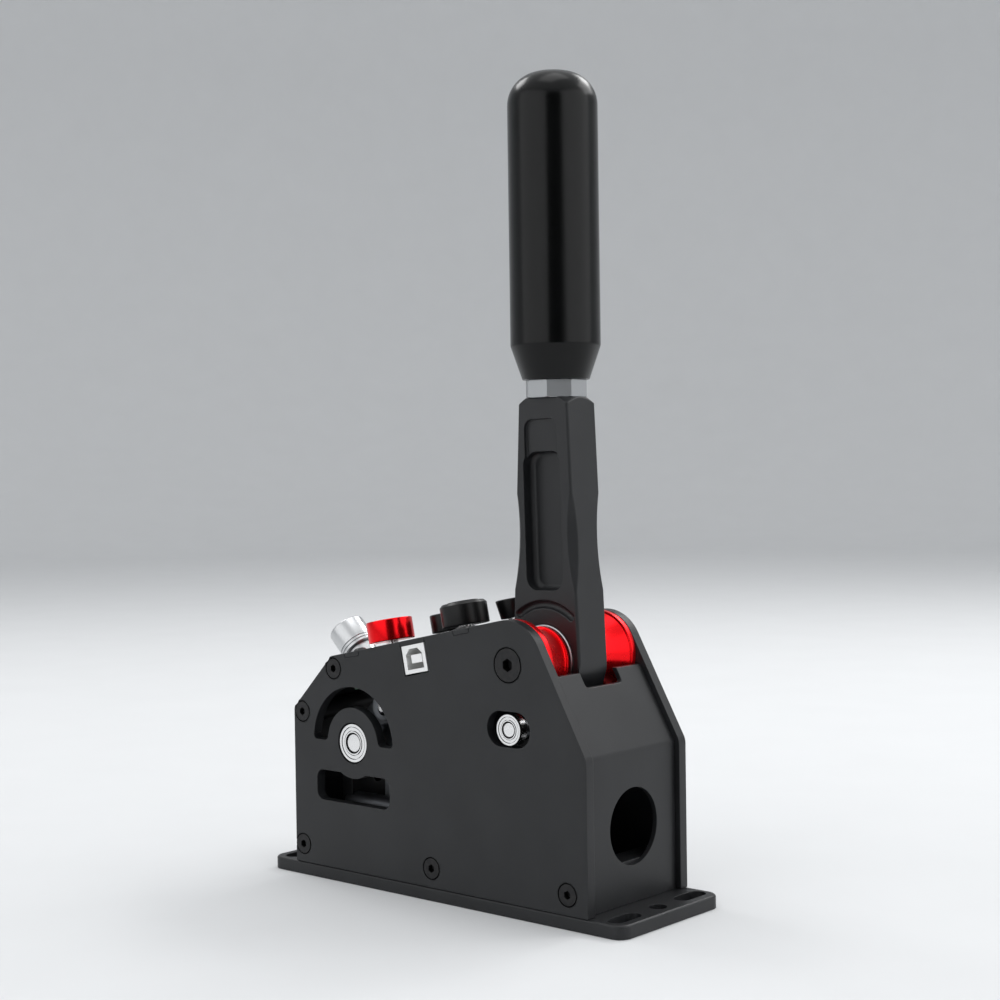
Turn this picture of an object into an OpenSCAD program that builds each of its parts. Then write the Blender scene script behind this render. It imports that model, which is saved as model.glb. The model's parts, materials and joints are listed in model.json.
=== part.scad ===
// Sim racing gear shifter: a sprung upright lever between two side plates on a bolt-down base.
// X runs from the rear towards the lever, Y across, Z up. The origin is at the centre of the
// base plate's underside. The lever drives a rocker through two link bars, and the rocker
// drives a rod between two centring springs.

/* [Base plate] */
// Length of the base plate
base_l = 180; // [178:1:220]
// Width of the base plate, also the width over the side plates
base_w = 60; // [59:0.5:66]
// Thickness of the base plate
base_t = 5; // [4:0.5:8]
// Corner radius of the base plate
base_r = 5; // [1:0.5:5.5]
// Width of the bolt slots
slot_w = 6.6; // [4:0.1:7.5]
// End-to-end length of the bolt slots
slot_l = 15.6; // [9:0.2:16]
// Distance between the two slots of one end
slot_pitch = 39.6; // [30:0.2:41]
// Distance from the end of the base plate to its bolt slots
slot_inset = 7; // [6:0.1:9]

/* [Side plates] */
// Length of the side plates
plate_l = 150; // [148:1:156]
// Thickness of the side plates
plate_t = 4.3; // [3.8:0.1:5]
// Height of the rear edge above the base plate
rear_h = 62.4; // [60:0.2:66]
// Slope of the rear facet
facet_a = 45; // [42:0.5:48]
// Slope of the top edge
top_a = 11.6; // [9:0.1:12.5]
// Slope of the front edge from the vertical
front_a = 28.8; // [26:0.2:31]
// Radius of the nose around the lever pivot
nose_r = 16.3; // [16.3:0.1:18]
// Rounding of the kink in the front edge
kink_r = 6; // [5:0.5:9]
// Rounding of the two rear corners
corner_r = 3; // [2.5:0.25:5]
// Diameter of the M4 screw heads
m4_head = 8.96; // [8:0.1:9.2]
// Diameter of the M6 screw heads
m6_head = 13.4; // [12:0.1:13.6]
// Inset of the end screws from the ends of the side plates
end_screw_in = 4.2; // [4.1:0.1:5]
// Inset of the front screws from the front end of the side plates
front_screw_in = 9.2; // [9:0.1:12]
// Height of the lower screws above the base plate
low_screw_h = 7.3; // [6:0.1:9]

/* [Side plate openings] */
// Rear end of the window, from the rear shaft
window_back = 20.5; // [18:0.5:24]
// Front end of the window, from the rear shaft
window_front = 20; // [16:0.5:24]
// Height of the window's lower edge above the base plate
window_h = 26.6; // [24:0.2:28]
// Height of the window itself
window_tall = 11.9; // [9:0.1:12.5]
// Corner radius of the window
window_r = 3.5; // [1:0.5:4]
// Radius of the web around the rear bearing
arc_in = 14; // [12:0.5:15]
// Width of the arc slot
arc_w = 8; // [5:0.5:9]
// Length of the guide slot beyond the roller on each side
guide_play = 4.2; // [4.15:0.05:5]
// Clearance of the roller in the guide slot, above and below
guide_clear = 0.45; // [0.45:0.05:0.8]

/* [Sheet panels] */
// Thickness of the top cover and the panels
sheet_t = 2; // [1.5:0.1:2.3]
// Depth of the front panel behind the plates' front edges
front_in = 2.1; // [1.5:0.1:2.4]
// Front end of the top cover
cover_end = 21; // [19:0.5:21]
// Height of the front panel's top edge below the pivot
panel_drop = 3.6; // [3.4:0.1:8]
// Width of the lever notch in the front panel
notch_w = 21.5; // [19:0.5:24]
// Depth of the lever notch
notch_h = 5.2; // [4:0.2:8]
// Diameter of the round port in the front panel
port_d = 28; // [20:0.5:30]
// Height of the port's centre above the base plate
port_h = 27.7; // [24:0.5:32]
// Width of the two cover tabs in the side plates
tab_w = 8; // [5:0.5:9]
// Gap between a sheet part and the side plates
sheet_gap = 0.1; // [0.05:0.05:0.3]

/* [Cross blocks] */
// Height of the three cross blocks
block_h = 15; // [13:0.5:18]
// Length of the end blocks along the base
block_l = 9; // [8:0.5:10]
// Length of the middle block along the base
mid_l = 16; // [12:1:18]
// Width of the middle block's upstand
mid_w = 30; // [28:1:36]
// Radius of the tie bars
tie_r = 4.4; // [4.2:0.1:4.8]

/* [Lever] */
// Position of the pivot ahead of the middle of the base
pivot_x = 39.4; // [38:0.2:41]
// Height of the pivot above the base plate
pivot_h = 86.5; // [85:0.5:89]
// Thickness of the lever arm
lever_t = 17; // [16.5:0.1:18]
// Radius of the lever's boss
boss_r = 16.1; // [15.2:0.1:16.1]
// Taper of each flank of the arm
taper_a = 2.6; // [1.5:0.1:3.2]
// Height of the arm's top above the pivot
arm_h = 96.9; // [92:0.5:110]
// Chamfer of the arm's long edges
arm_chamfer = 0.8; // [0.5:0.1:1.2]
// Chamfer leg in the middle of the waist
waist_chamfer = 2.8; // [1.8:0.1:3.2]
// Radius of the waist's hollow
waist_r = 110; // [80:5:130]
// Distance of the cross pin below the pivot
lower_arm = 23.4; // [22:0.1:24.5]
// End radius of the lower arm
lower_r = 8.5; // [6:0.25:9]
// Length of the deep side pocket
pocket_l = 51.3; // [44:0.5:54]
// Width of the deep side pocket
pocket_w = 17.4; // [12:0.2:18]
// Depth of the deep side pocket
pocket_d = 5.4; // [3:0.2:6.5]
// Depth of the shallow pocket
shallow_d = 1.5; // [0.8:0.1:2]
// Inner radius of the arc groove
groove_r = 19; // [18.2:0.1:20]
// Width of the arc groove
groove_w = 3; // [2:0.25:3.5]

/* [Grip] */
// Diameter of the grip
grip_d = 33.6; // [28:0.2:38]
// Length of the grip
grip_l = 113.8; // [90:1:130]
// Diameter of the grip's lower end
grip_foot_d = 24.9; // [20:0.2:26]
// Length of the grip's lower cone
grip_cone = 12.7; // [8:0.5:18]
// Rounding of the grip's top edge
grip_round = 12.2; // [6:0.2:13]
// Diameter of the grip stud
stud_d = 12; // [8:0.5:12]
// Width across flats of the lock nut
nut_af = 21.8; // [19:0.2:22.4]
// Height of the lock nut
nut_h = 6.6; // [4:0.2:8]

/* [Pivot and bearings] */
// Diameter of the pivot shaft
shaft_d = 10; // [9:0.5:10]
// Outer diameter of the lever bearings
lever_brg_d = 26; // [24:0.5:26]
// Width of the lever bearings
lever_brg_w = 8; // [6:0.5:8]
// How far the lever bearings stand out of the lever's faces
lever_brg_out = 0.5; // [0.2:0.1:0.8]
// Radius of the hubs' flange
hub_r = 16.2; // [15:0.1:16.2]
// Radius of the hubs' end next to the lever
hub_small_r = 12.5; // [11:0.25:13]
// Diameter of the cross pin
cross_d = 6; // [5:0.5:6]
// Outer diameter of the guide rollers
roller_d = 12; // [11:0.5:13]
// Width of the guide rollers
roller_w = 4; // [3.5:0.1:4.2]
// Distance of the rear shaft behind the middle of the base
rear_x = 41.6; // [40:0.2:43]
// Height of the rear shaft above the base plate
rear_shaft_h = 50.6; // [50:0.2:51.4]
// Diameter of the rear shaft
rear_d = 8; // [7:0.5:8]
// Outer diameter of the rear bearings
rear_brg_d = 16; // [15:0.5:17]
// Width of the rear bearings
rear_brg_w = 5; // [4.5:0.5:6]
// Running clearance on a radius
run = 0.04; // [0.02:0.01:0.08]

/* [Linkage] */
// Radius of the rocker's rim
rim_r = 17.4; // [17:0.1:17.6]
// Half the thickness of the rocker
rocker_y = 7.4; // [7:0.1:7.5]
// Thickness of the link bars
link_t = 4; // [3:0.25:5]
// Diameter of the link pin and of the drive pin
pin_d = 5; // [4:0.25:5]
// Height of the centring rod above the base plate
rod_h = 20; // [19.5:0.1:20.5]
// Diameter of the centring rod
rod_d = 8; // [6:0.5:8]
// Diameter of the guide rods
guide_d = 8; // [6:0.5:8]
// Distance of a guide rod from the middle
guide_y = 12; // [12:0.1:13]
// Height of the guide rods above the base plate
guide_h = 23.3; // [22:0.1:26]
// Thickness of the rear post
post_t = 5.7; // [4:0.1:6]
// Height of the rear post
post_h = 37; // [32:0.5:40]
// Wire of the centring springs
wire_d = 1.6; // [1.2:0.1:1.8]
// Outer diameter of the centring springs
spring_d = 14.4; // [13:0.2:14.8]
// Room for the front spring
front_spring_l = 30; // [24:1:34]
// Room for the rear spring
rear_spring_l = 19; // [16:0.5:20]

/* [Controls] */
// Diameter of the red knob
red_d = 18.8; // [15:0.2:20]
// Height of the red knob
red_h = 8.6; // [6:0.2:10]
// Position of the red knob along the cover
red_s = 9.3; // [9:0.1:12]
// Diameter of the large black knob
black_d = 18.6; // [15:0.2:20]
// Height of the large black knob
black_h = 9.4; // [6:0.2:11]
// Position of the large black knob along the cover
black_s = 50.9; // [46:0.5:53]
// Distance of the red and the large black knob from the middle, to the right
near_y = 4; // [3.6:0.1:4.4]
// Diameter of the rear black knob
rear_knob_d = 14; // [11:0.2:15]
// Position of the rear black knob along the cover
rear_knob_s = 26.4; // [25:0.5:29]
// Diameter of the flared knob at its foot
flared_d = 11.6; // [9:0.2:13]
// Widening of the flared knob towards its top
flare = 2.4; // [0:0.2:3]
// Height of the rear black knob and of the flared knob
small_h = 7.4; // [5:0.2:9]
// Position of the flared knob along the cover
flared_s = 62.7; // [58:0.5:63]
// Distance of the two small knobs from the middle, to the left
far_y = 12; // [11:0.2:13]
// Gap under the knobs
knob_gap = 2.5; // [2.2:0.1:3.5]
// Diameter of the silver knob
silver_d = 15.6; // [12:0.2:17]
// Height of the silver knob
silver_h = 12.2; // [8:0.2:15]
// Position of the silver knob along the rear facet
silver_s = 17.5; // [17:0.1:17.8]
// Distance of the silver knob from the middle, to the left
silver_y = 3.5; // [3.4:0.1:3.6]
// Length of the silver knob's sleeve above the cover
sleeve_h = 11; // [8:0.2:14]

/* [USB socket] */
// Width of the USB socket's shell
usb_w = 12; // [11.6:0.1:12.4]
// Height of the USB socket's shell
usb_h = 10.9; // [10.4:0.1:11]
// Depth of the USB socket's shell
usb_d = 16; // [14:0.5:18]
// Position of the socket's middle along the cover
usb_s = 45.6; // [44:0.2:50]
// Gap around the socket in the plate's notch
usb_gap = 0.5; // [0.3:0.1:0.8]

/* [Hidden] */
$fn = 48;
slip = 0.05;
through = 1;
// How far a corner's cylinder stands proud of the flats beside it, so that they cross cleanly
proud = 0.001;

half_w = base_w / 2;
inner_y = half_w - plate_t;
sheet_y = inner_y - sheet_gap;
rear_z = base_t + rear_h;
pivot_z = base_t + pivot_h;
pivot = [pivot_x, pivot_z];
rear_shaft = [-rear_x, base_t + rear_shaft_h];
rod_z = base_t + rod_h;
guide_z = base_t + guide_h;
arm_top = pivot_z + arm_h;
cross_z = pivot_z - lower_arm;
link_z = cross_z;
link_y = lever_t / 2 + 0.5;
roller_y = half_w - 0.1 - roller_w;
rocker_up = link_z - rear_shaft[1];
rocker_down = rear_shaft[1] - rod_z;
mid_x = 0;
brg_seat = lever_t / 2 + lever_brg_out - lever_brg_w;
low_screw_z = base_t + low_screw_h;

// Outline of the side plates: corners where the offset edge lines meet
function unit(v) = v / norm(v);
function line_x(n, c, x) = [x, (c - n[0] * x) / n[1]];
function meet(n1, c1, n2, c2) =
    let (det = n1[0] * n2[1] - n1[1] * n2[0])
    [(c1 * n2[1] - c2 * n1[1]) / det, (n1[0] * c2 - n2[0] * c1) / det];
facet_n = [-sin(facet_a), cos(facet_a)];
top_n = [-sin(top_a), cos(top_a)];
front_n = [cos(front_a), sin(front_a)];
facet_c = facet_n * [-plate_l / 2, rear_z];
top_c = top_n * pivot + nose_r;
front_c = front_n * pivot + nose_r;
function outline_points(d) = [
    [-plate_l / 2 + d, base_t],
    line_x(facet_n, facet_c - d, -plate_l / 2 + d),
    meet(facet_n, facet_c - d, top_n, top_c - d),
    meet(top_n, top_c - d, front_n, front_c - d),
    line_x(front_n, front_c - d, plate_l / 2 - d),
    [plate_l / 2 - d, base_t]];
function outline_radii(d) =
    [0, max(corner_r - d, 0.4), max(corner_r - d, 0.4), nose_r - d, max(kink_r - d, 0.5), 0];
top_corner = meet(facet_n, facet_c, top_n, top_c);
facet_l = norm(top_corner - [-plate_l / 2, rear_z]);
split_z = rear_z - 1;

// Motion: swing of the lever and of the rocker, and travel of the centring rod
swing = 9.5;
throw = lower_arm * sin(swing);
rocker_swing = asin(throw / rocker_up);
sag = rocker_up * (1 - cos(rocker_swing)) + lower_arm * (1 - cos(swing));
rod_travel = rocker_down * tan(rocker_swing);
rod_tail = 2.3;
post_gap = 1.3;

// Screw places
end_screws = [[-plate_l / 2 + end_screw_in, low_screw_z], [mid_x, low_screw_z],
    [plate_l / 2 - front_screw_in, low_screw_z]];
tie_inset = sheet_t + 2.4;
tie_places = [[-plate_l / 2, rear_z] + 2.2 * [cos(facet_a), sin(facet_a)] - tie_inset * facet_n,
    [-plate_l / 2, rear_z] + (facet_l - 2.4) * [cos(facet_a), sin(facet_a)] - tie_inset * facet_n];
side_places = concat(end_screws, tie_places);
m4_d = 4;
m4_hole = 4.4;
m6_d = 6;
m6_hole = 6.4;
m5_d = 5;
m5_head = 9.8;
m3_d = 3;
m3_head = 5.5;
rod_back = -rear_x - pin_d / 2 - rod_tail;
post_x = rod_back - rod_travel - post_gap - post_t;
base_hole_y = 19;
post_hole_y = 8;
post_wall = 1.7;
guide_seat = 4;
base_tap_h = low_screw_h - m4_d / 2 - 0.3;
front_x = plate_l / 2 - front_screw_in;
rear_block_x = -plate_l / 2 + sheet_t + block_l / 2;
rear_screw_places = [for (y = [-1, 1], z = [low_screw_z + 3.5, tie_places[0][1] - 3]) [y * 10, z]];
rear_collar_x = mid_x - mid_l / 2 - rear_spring_l;
front_collar_x = mid_x + mid_l / 2 + front_spring_l;
collar_l = 5;
base_holes = [for (y = [-1, 1], p = [[front_x, base_hole_y], [mid_x, base_hole_y],
    [rear_block_x, base_hole_y], [post_x + post_t / 2, post_hole_y]]) [p[0], y * p[1]]];

// Board and controls, measured along and square to the top cover
board_n = sheet_t + usb_h + 0.1;
usb_floor = 4;
tongue_in = 1.2;
board_t = 1.6;
board_s0 = 6;
board_s1 = 69;
post_s = [9.5, 65.5];
cover_screw_y = inner_y - 3.1;
rear_tab_s = 8;
front_tab_s = (cover_end - top_corner[0]) / cos(top_a) - tab_w / 2 - 0.5;
encoder_w = 12;
encoder_h = 6.8;
encoder_places = [[black_s, -near_y], [rear_knob_s, far_y], [flared_s, far_y]];
bushing_d = 7;
shaft6 = 6;
guide_in = 8.2;
guide_wall = 2;
guide_out = guide_in + 2 * guide_wall + 2 * slip;
guide_long = 8;
slider_w = 8;
spindle_d = 5;
pad_d = 7;
pad_t = 2;
pad_n = 16;
sleeve_d = 10;
sleeve_collar_d = 12;
plunger_d = 6;
plunger_gap = 0.4;
stud_in = 15.5;
stud_up = 30;
recess_r = rim_r - 1.6;
plunger_reach = facet_c - facet_n * rear_shaft - recess_r - plunger_gap;

// Upright block whose corners are rounded by true cylinders
function corner_points(a, p, b, r) =
    let (u = unit(a - p), v = unit(b - p), half = acos(u * v) / 2, t = r / tan(half))
    r == 0 ? [p] : [p + u * t, p + v * t];
function corner_centre(a, p, b, r) =
    let (u = unit(a - p), v = unit(b - p), half = acos(u * v) / 2)
    p + unit(u + v) * r / sin(half);
module prism(pts, rs, t, over = proud) {
    n = len(pts);
    linear_extrude(t) polygon([for (i = [0 : n - 1])
        for (q = corner_points(pts[(i + n - 1) % n], pts[i], pts[(i + 1) % n], rs[i])) q]);
    for (i = [0 : n - 1])
        if (rs[i] > 0)
            translate(corner_centre(pts[(i + n - 1) % n], pts[i], pts[(i + 1) % n], rs[i]))
                cylinder(r = rs[i] + over, h = t);
}
module outline(d, t) {
    prism(outline_points(d), outline_radii(d), t);
}
module rounded_box(w, h, r, t, over = proud) {
    prism([[-w / 2, -h / 2], [-w / 2, h / 2], [w / 2, h / 2], [w / 2, -h / 2]],
        [r, r, r, r], t, over);
}
module stadium(l, w, t) {
    translate([(w - l) / 2, -w / 2, 0]) cube([l - w, w, t]);
    for (s = [-1, 1])
        translate([s * (l - w) / 2, 0, 0]) cylinder(d = w, h = t);
}

// Stands a piece that is drawn in X and Z, and as thick as y1 - y0, between y0 and y1
module slab(y1) {
    translate([0, y1, 0]) rotate([90, 0, 0]) children();
}
// Cutting shape that starts below z = 0
module cut() {
    translate([0, 0, -through]) children();
}
// An axis along Y through a place in X and Z, for the right side (-1) or the left side (1)
module at_side(p, side) {
    translate([p[0], 0, p[1]]) rotate([-90 * side, 0, 0]) children();
}
module both_sides(p) {
    for (side = [-1, 1]) at_side(p, side) children();
}
// Places on the top cover and on the rear facet: s along the slope, y across
module on_cover(s, y) {
    translate([top_corner[0], y, top_corner[1]]) rotate([0, -top_a, 0])
        translate([s, 0, 0]) children();
}
module on_facet(s, y) {
    translate([-plate_l / 2, y, rear_z]) rotate([0, -facet_a, 0])
        translate([s, 0, 0]) children();
}
module tube(d_out, d_in, h) {
    difference() {
        cylinder(d = d_out, h = h);
        translate([0, 0, -through]) cylinder(d = d_in, h = h + 2 * through);
    }
}

// Countersunk hole and screw, both pointing inwards from the outer face at z = 0
module sunk_hole(head, d, depth) {
    translate([0, 0, -through]) cylinder(d = head, h = through + slip);
    cylinder(d1 = head, d2 = d, h = (head - d) / 2);
    translate([0, 0, -through]) cylinder(d = d, h = depth + 2 * through);
}
module sunk_screw(head, d, long, key) {
    rim = 0.25;
    top_d = head - 2 * rim - 2 * slip;
    cone = (top_d - d) / 2;
    difference() {
        union() {
            translate([0, 0, rim]) cylinder(d1 = top_d, d2 = d, h = cone);
            cylinder(d = top_d, h = rim);
            cylinder(d = d, h = long);
        }
        translate([0, 0, -through]) cylinder(d = key / cos(30), h = through + cone * 0.9, $fn = 6);
    }
}
// Shielded ball bearing, standing on z = 0
module bearing(d_in, d_out, w) {
    race = (d_out - d_in) * 0.16;
    dip = 0.35;
    rotate_extrude() polygon([[d_in / 2, 0], [d_in / 2, w], [d_in / 2 + race, w],
        [d_in / 2 + race, w - dip], [d_out / 2 - race, w - dip], [d_out / 2 - race, w],
        [d_out / 2, w], [d_out / 2, 0], [d_out / 2 - race, 0], [d_out / 2 - race, dip],
        [d_in / 2 + race, dip], [d_in / 2 + race, 0]]);
}

// Openings of one side plate, drawn in X and Z
module window_shape(t) {
    difference() {
        translate([rear_shaft[0] + (window_front - window_back) / 2,
            base_t + window_h + window_tall / 2, 0])
            rounded_box(window_back + window_front, window_tall, window_r, t);
        translate(rear_shaft) cut() cylinder(r = arc_in, h = t + 2 * through);
    }
}
module arc_slot_shape(t) {
    end_r = 2;
    far = arc_in + arc_w;
    translate(rear_shaft) {
        difference() {
            cylinder(r = far, h = t);
            cut() cylinder(r = arc_in, h = t + 2 * through);
            translate([-far - through, -far - through, -through])
                cube([2 * far + 2 * through, far + through + end_r, t + 2 * through]);
        }
        for (s = [-1, 1]) translate([s * (arc_in + arc_w / 2), end_r / 2 + slip, 0])
            prism([[-arc_w / 2, -end_r / 2 - slip], [-arc_w / 2, end_r / 2],
                [arc_w / 2, end_r / 2], [arc_w / 2, -end_r / 2 - slip]],
                [end_r - 0.2, 0, 0, end_r - 0.2], t);
    }
}
module guide_slot_shape(t) {
    translate([pivot_x, cross_z + guide_clear / 3, 0])
        stadium(roller_d + 2 * guide_play, roller_d + 2 * guide_clear, t);
}
module tab_shape(s, w, gap, t) {
    translate(top_corner) rotate(top_a) translate([s - w / 2 - gap, -sheet_t, 0])
        cube([w + 2 * gap, sheet_t + through, t]);
}
module usb_notch_shape(t) {
    translate(top_corner) rotate(top_a)
        translate([usb_s - usb_w / 2 - usb_gap, -sheet_t - usb_h - usb_gap, 0])
        cube([usb_w + 2 * usb_gap, usb_h + usb_gap + sheet_t + through, t]);
}

module side_plate(side) {
    deep = plate_t + 2 * through;
    color("#2b2c2e")
    difference() {
        slab(side < 0 ? -inner_y : half_w) difference() {
            outline(0, plate_t);
            cut() window_shape(deep);
            cut() arc_slot_shape(deep);
            cut() guide_slot_shape(deep);
            cut() tab_shape(rear_tab_s + tab_w / 2, tab_w, slip, deep);
            cut() tab_shape(front_tab_s, tab_w, slip, deep);
            if (side < 0) cut() usb_notch_shape(deep);
        }
        at_side(rear_shaft, side) translate([0, 0, inner_y - through])
            cylinder(d = rear_brg_d + 2 * slip, h = plate_t + 2 * through);
        for (p = side_places)
            translate([p[0], side * half_w, p[1]]) rotate([90 * side, 0, 0])
                sunk_hole(m4_head, m4_hole, plate_t);
        translate([pivot_x, side * half_w, pivot_z]) rotate([90 * side, 0, 0])
            sunk_hole(m6_head, m6_hole, plate_t);
    }
}
module right_side_plate() {
    side_plate(-1);
}
module left_side_plate() {
    side_plate(1);
}

// Top layer of a rounded box, with a chamfer as high as the layer
module chamfered_top(l, w, r, h) {
    rotate([90, 0, 90]) linear_extrude(l - 2 * r, center = true)
        polygon([[-w / 2, 0], [w / 2, 0], [w / 2 - h, h], [-w / 2 + h, h]]);
    rotate([90, 0, 0]) linear_extrude(w - 2 * r, center = true)
        polygon([[-l / 2, 0], [l / 2, 0], [l / 2 - h, h], [-l / 2 + h, h]]);
    for (x = [-1, 1], y = [-1, 1]) translate([x * (l / 2 - r), y * (w / 2 - r), 0])
        cylinder(r1 = r + proud, r2 = r - h + proud, h = h);
}
module base_plate() {
    edge = 0.6;
    color("#242527")
    difference() {
        union() {
            rounded_box(base_l, base_w, base_r, base_t - edge);
            translate([0, 0, base_t - edge]) chamfered_top(base_l, base_w, base_r, edge);
        }
        for (end = [-1, 1], s = [-1, 1])
            translate([end * (base_l / 2 - slot_inset), s * slot_pitch / 2, -through])
                rotate([0, 0, 90]) stadium(slot_l, slot_w, base_t + 2 * through);
        for (end = [-1, 1])
            translate([end * (base_l / 2 - slot_inset), 0, -through])
                cylinder(d = slot_w, h = base_t + 2 * through);
        for (p = base_holes)
            translate([p[0], p[1], 0]) sunk_hole(m5_head, m5_d + 0.4, base_t);
    }
}

module sheet_strip(d, w) {
    slab(w / 2) difference() {
        outline(d, w);
        cut() outline(d + sheet_t, w + 2 * through);
    }
}
module top_cover() {
    color("#252628")
    difference() {
        union() {
            intersection() {
                sheet_strip(0, 2 * sheet_y);
                translate([-plate_l, -base_w, split_z + slip])
                    cube([plate_l + cover_end, 2 * base_w, plate_l]);
            }
            for (s = [rear_tab_s + tab_w / 2, front_tab_s])
                on_cover(s, 0) translate([-tab_w / 2, -half_w, -sheet_t])
                    cube([tab_w, base_w, sheet_t]);
            on_cover(usb_s, 0) translate([-usb_w / 2 - usb_gap + slip, -half_w, -sheet_t])
                cube([usb_w + 2 * usb_gap - 2 * slip, half_w, sheet_t]);
        }
        cover_hole(red_s, -near_y, spindle_d + 0.4);
        cover_hole(black_s, -near_y, bushing_d + 0.2);
        cover_hole(rear_knob_s, far_y, bushing_d + 0.2);
        cover_hole(flared_s, far_y, bushing_d + 0.2);
        for (s = post_s, y = [-1, 1]) cover_hole(s, y * cover_screw_y, m3_d + 0.2);
        on_facet(silver_s, silver_y) translate([0, 0, -sheet_t - through])
            cylinder(d = sleeve_d + 2 * slip, h = sheet_t + 2 * through);
    }
}
module cover_hole(s, y, d) {
    on_cover(s, y) translate([0, 0, -sheet_t - through])
        cylinder(d = d, h = sheet_t + 2 * through);
}

module front_panel() {
    color("#28292b")
    difference() {
        intersection() {
            sheet_strip(front_in, 2 * sheet_y);
            translate([pivot_x, -base_w, base_t]) cube([plate_l, 2 * base_w, pivot_h - panel_drop]);
        }
        translate([pivot_x, 0, pivot_z - panel_drop]) rotate([90, 0, 90])
            prism([[-notch_w / 2, -notch_h], [-notch_w / 2, notch_h], [notch_w / 2, notch_h],
                [notch_w / 2, -notch_h]], [1.5, 0, 0, 1.5], plate_l / 2);
        translate([plate_l / 2 - front_in - sheet_t - through, 0, base_t + port_h])
            rotate([0, 90, 0]) cylinder(d = port_d, h = sheet_t + 2 * through);
    }
}
module rear_panel() {
    color("#28292b")
    difference() {
        intersection() {
            sheet_strip(0, 2 * sheet_y);
            translate([-plate_l, -base_w, base_t]) cube([plate_l, 2 * base_w, split_z - base_t]);
        }
        for (p = rear_screw_places)
            translate([-plate_l / 2, p[0], p[1]]) rotate([0, 90, 0])
                sunk_hole(m3_head, m3_d + 0.3, sheet_t);
    }
}

// Cross blocks between the side plates
module tapped_ends(p) {
    both_sides(p) translate([0, 0, inner_y - 12]) cylinder(d = m4_d + 2 * slip, h = 12 + through);
}
module base_tap(x, y0) {
    for (y = [-1, 1]) translate([x, y * y0, base_t - through])
        cylinder(d = m5_d + 2 * slip, h = base_tap_h + through);
}
module front_block() {
    right = plate_l / 2 - front_in - sheet_t;
    color("#3a3b3d")
    difference() {
        translate([2 * front_x - right, -inner_y, base_t])
            cube([2 * (right - front_x), 2 * inner_y, block_h]);
        tapped_ends(end_screws[2]);
        base_tap(front_x, base_hole_y);
    }
}
module middle_block() {
    bush_d = rod_d + 3;
    mid_top = rod_z + 9;
    color("#3a3b3d")
    difference() {
        union() {
            translate([mid_x - mid_l / 2, -inner_y, base_t]) cube([mid_l, 2 * inner_y, block_h]);
            translate([mid_x - mid_l / 2, 0, 0]) rotate([90, 0, 90])
                prism([[-mid_w / 2, base_t], [-mid_w / 2, mid_top], [mid_w / 2, mid_top],
                    [mid_w / 2, base_t]], [0, 3, 3, 0], mid_l);
        }
        tapped_ends(end_screws[1]);
        base_tap(mid_x, base_hole_y);
        translate([mid_x - mid_l, 0, rod_z]) rotate([0, 90, 0])
            cylinder(d = bush_d + 2 * slip, h = 2 * mid_l);
        for (y = [-1, 1]) translate([mid_x - mid_l / 2 - through, y * guide_y, guide_z])
            rotate([0, 90, 0]) cylinder(d = guide_d + 2 * slip, h = guide_seat + through);
    }
}
module rear_block() {
    color("#3a3b3d")
    difference() {
        translate([-plate_l / 2 + sheet_t, -inner_y, base_t])
            cube([block_l, 2 * inner_y, block_h]);
        tapped_ends(end_screws[0]);
        base_tap(rear_block_x, base_hole_y);
        rear_taps(0);
    }
}
module rear_taps(row) {
    for (k = [0, 1]) translate([-plate_l / 2 + sheet_t - through, rear_screw_places[2 * k + row][0],
        rear_screw_places[2 * k + row][1]]) rotate([0, 90, 0])
        cylinder(d = m3_d + 2 * slip, h = 5 + through);
}
module tie_bars() {
    color("#3a3b3d")
    difference() {
        slab(inner_y) intersection() {
            outline(sheet_t, 2 * inner_y);
            for (p = tie_places) translate(p) cylinder(r = tie_r, h = 2 * inner_y);
        }
        on_cover(red_s, -near_y) cube([guide_out, guide_out, 4 * guide_long], center = true);
        for (p = tie_places) tapped_ends(p);
        rear_taps(1);
    }
}

// Fasteners
module side_screws() {
    color("#1d1e20")
    for (p = side_places, side = [-1, 1])
        translate([p[0], side * half_w, p[1]]) rotate([90 * side, 0, 0])
            sunk_screw(m4_head, m4_d, plate_t + 9, 2.5);
}
module pivot_screws() {
    color("#1d1e20")
    for (side = [-1, 1])
        translate([pivot_x, side * half_w, pivot_z]) rotate([90 * side, 0, 0])
            sunk_screw(m6_head, m6_d, plate_t + 12, 4);
}
module base_screws() {
    color("#1d1e20")
    for (p = base_holes) translate([p[0], p[1], 0])
        sunk_screw(m5_head, m5_d, base_t + base_tap_h - slip, 3);
}
module rear_screws() {
    color("#1d1e20")
    for (p = rear_screw_places) translate([-plate_l / 2, p[0], p[1]]) rotate([0, 90, 0])
        sunk_screw(m3_head, m3_d, sheet_t + 4, 2);
}
module cover_screws() {
    head_d = 5.7;
    head_h = 1.65;
    color("#1d1e20")
    for (s = post_s, y = [-1, 1]) on_cover(s, y * cover_screw_y)
        difference() {
            union() {
                intersection() {
                    cylinder(d = head_d, h = head_h);
                    translate([0, 0, head_h - 3.5]) sphere(r = 3.5);
                }
                translate([0, 0, -sheet_t - 6]) cylinder(d = m3_d, h = sheet_t + 6.2);
            }
            translate([0, 0, head_h - 1]) cylinder(d = 2 / cos(30), h = 2, $fn = 6);
        }
}

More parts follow.
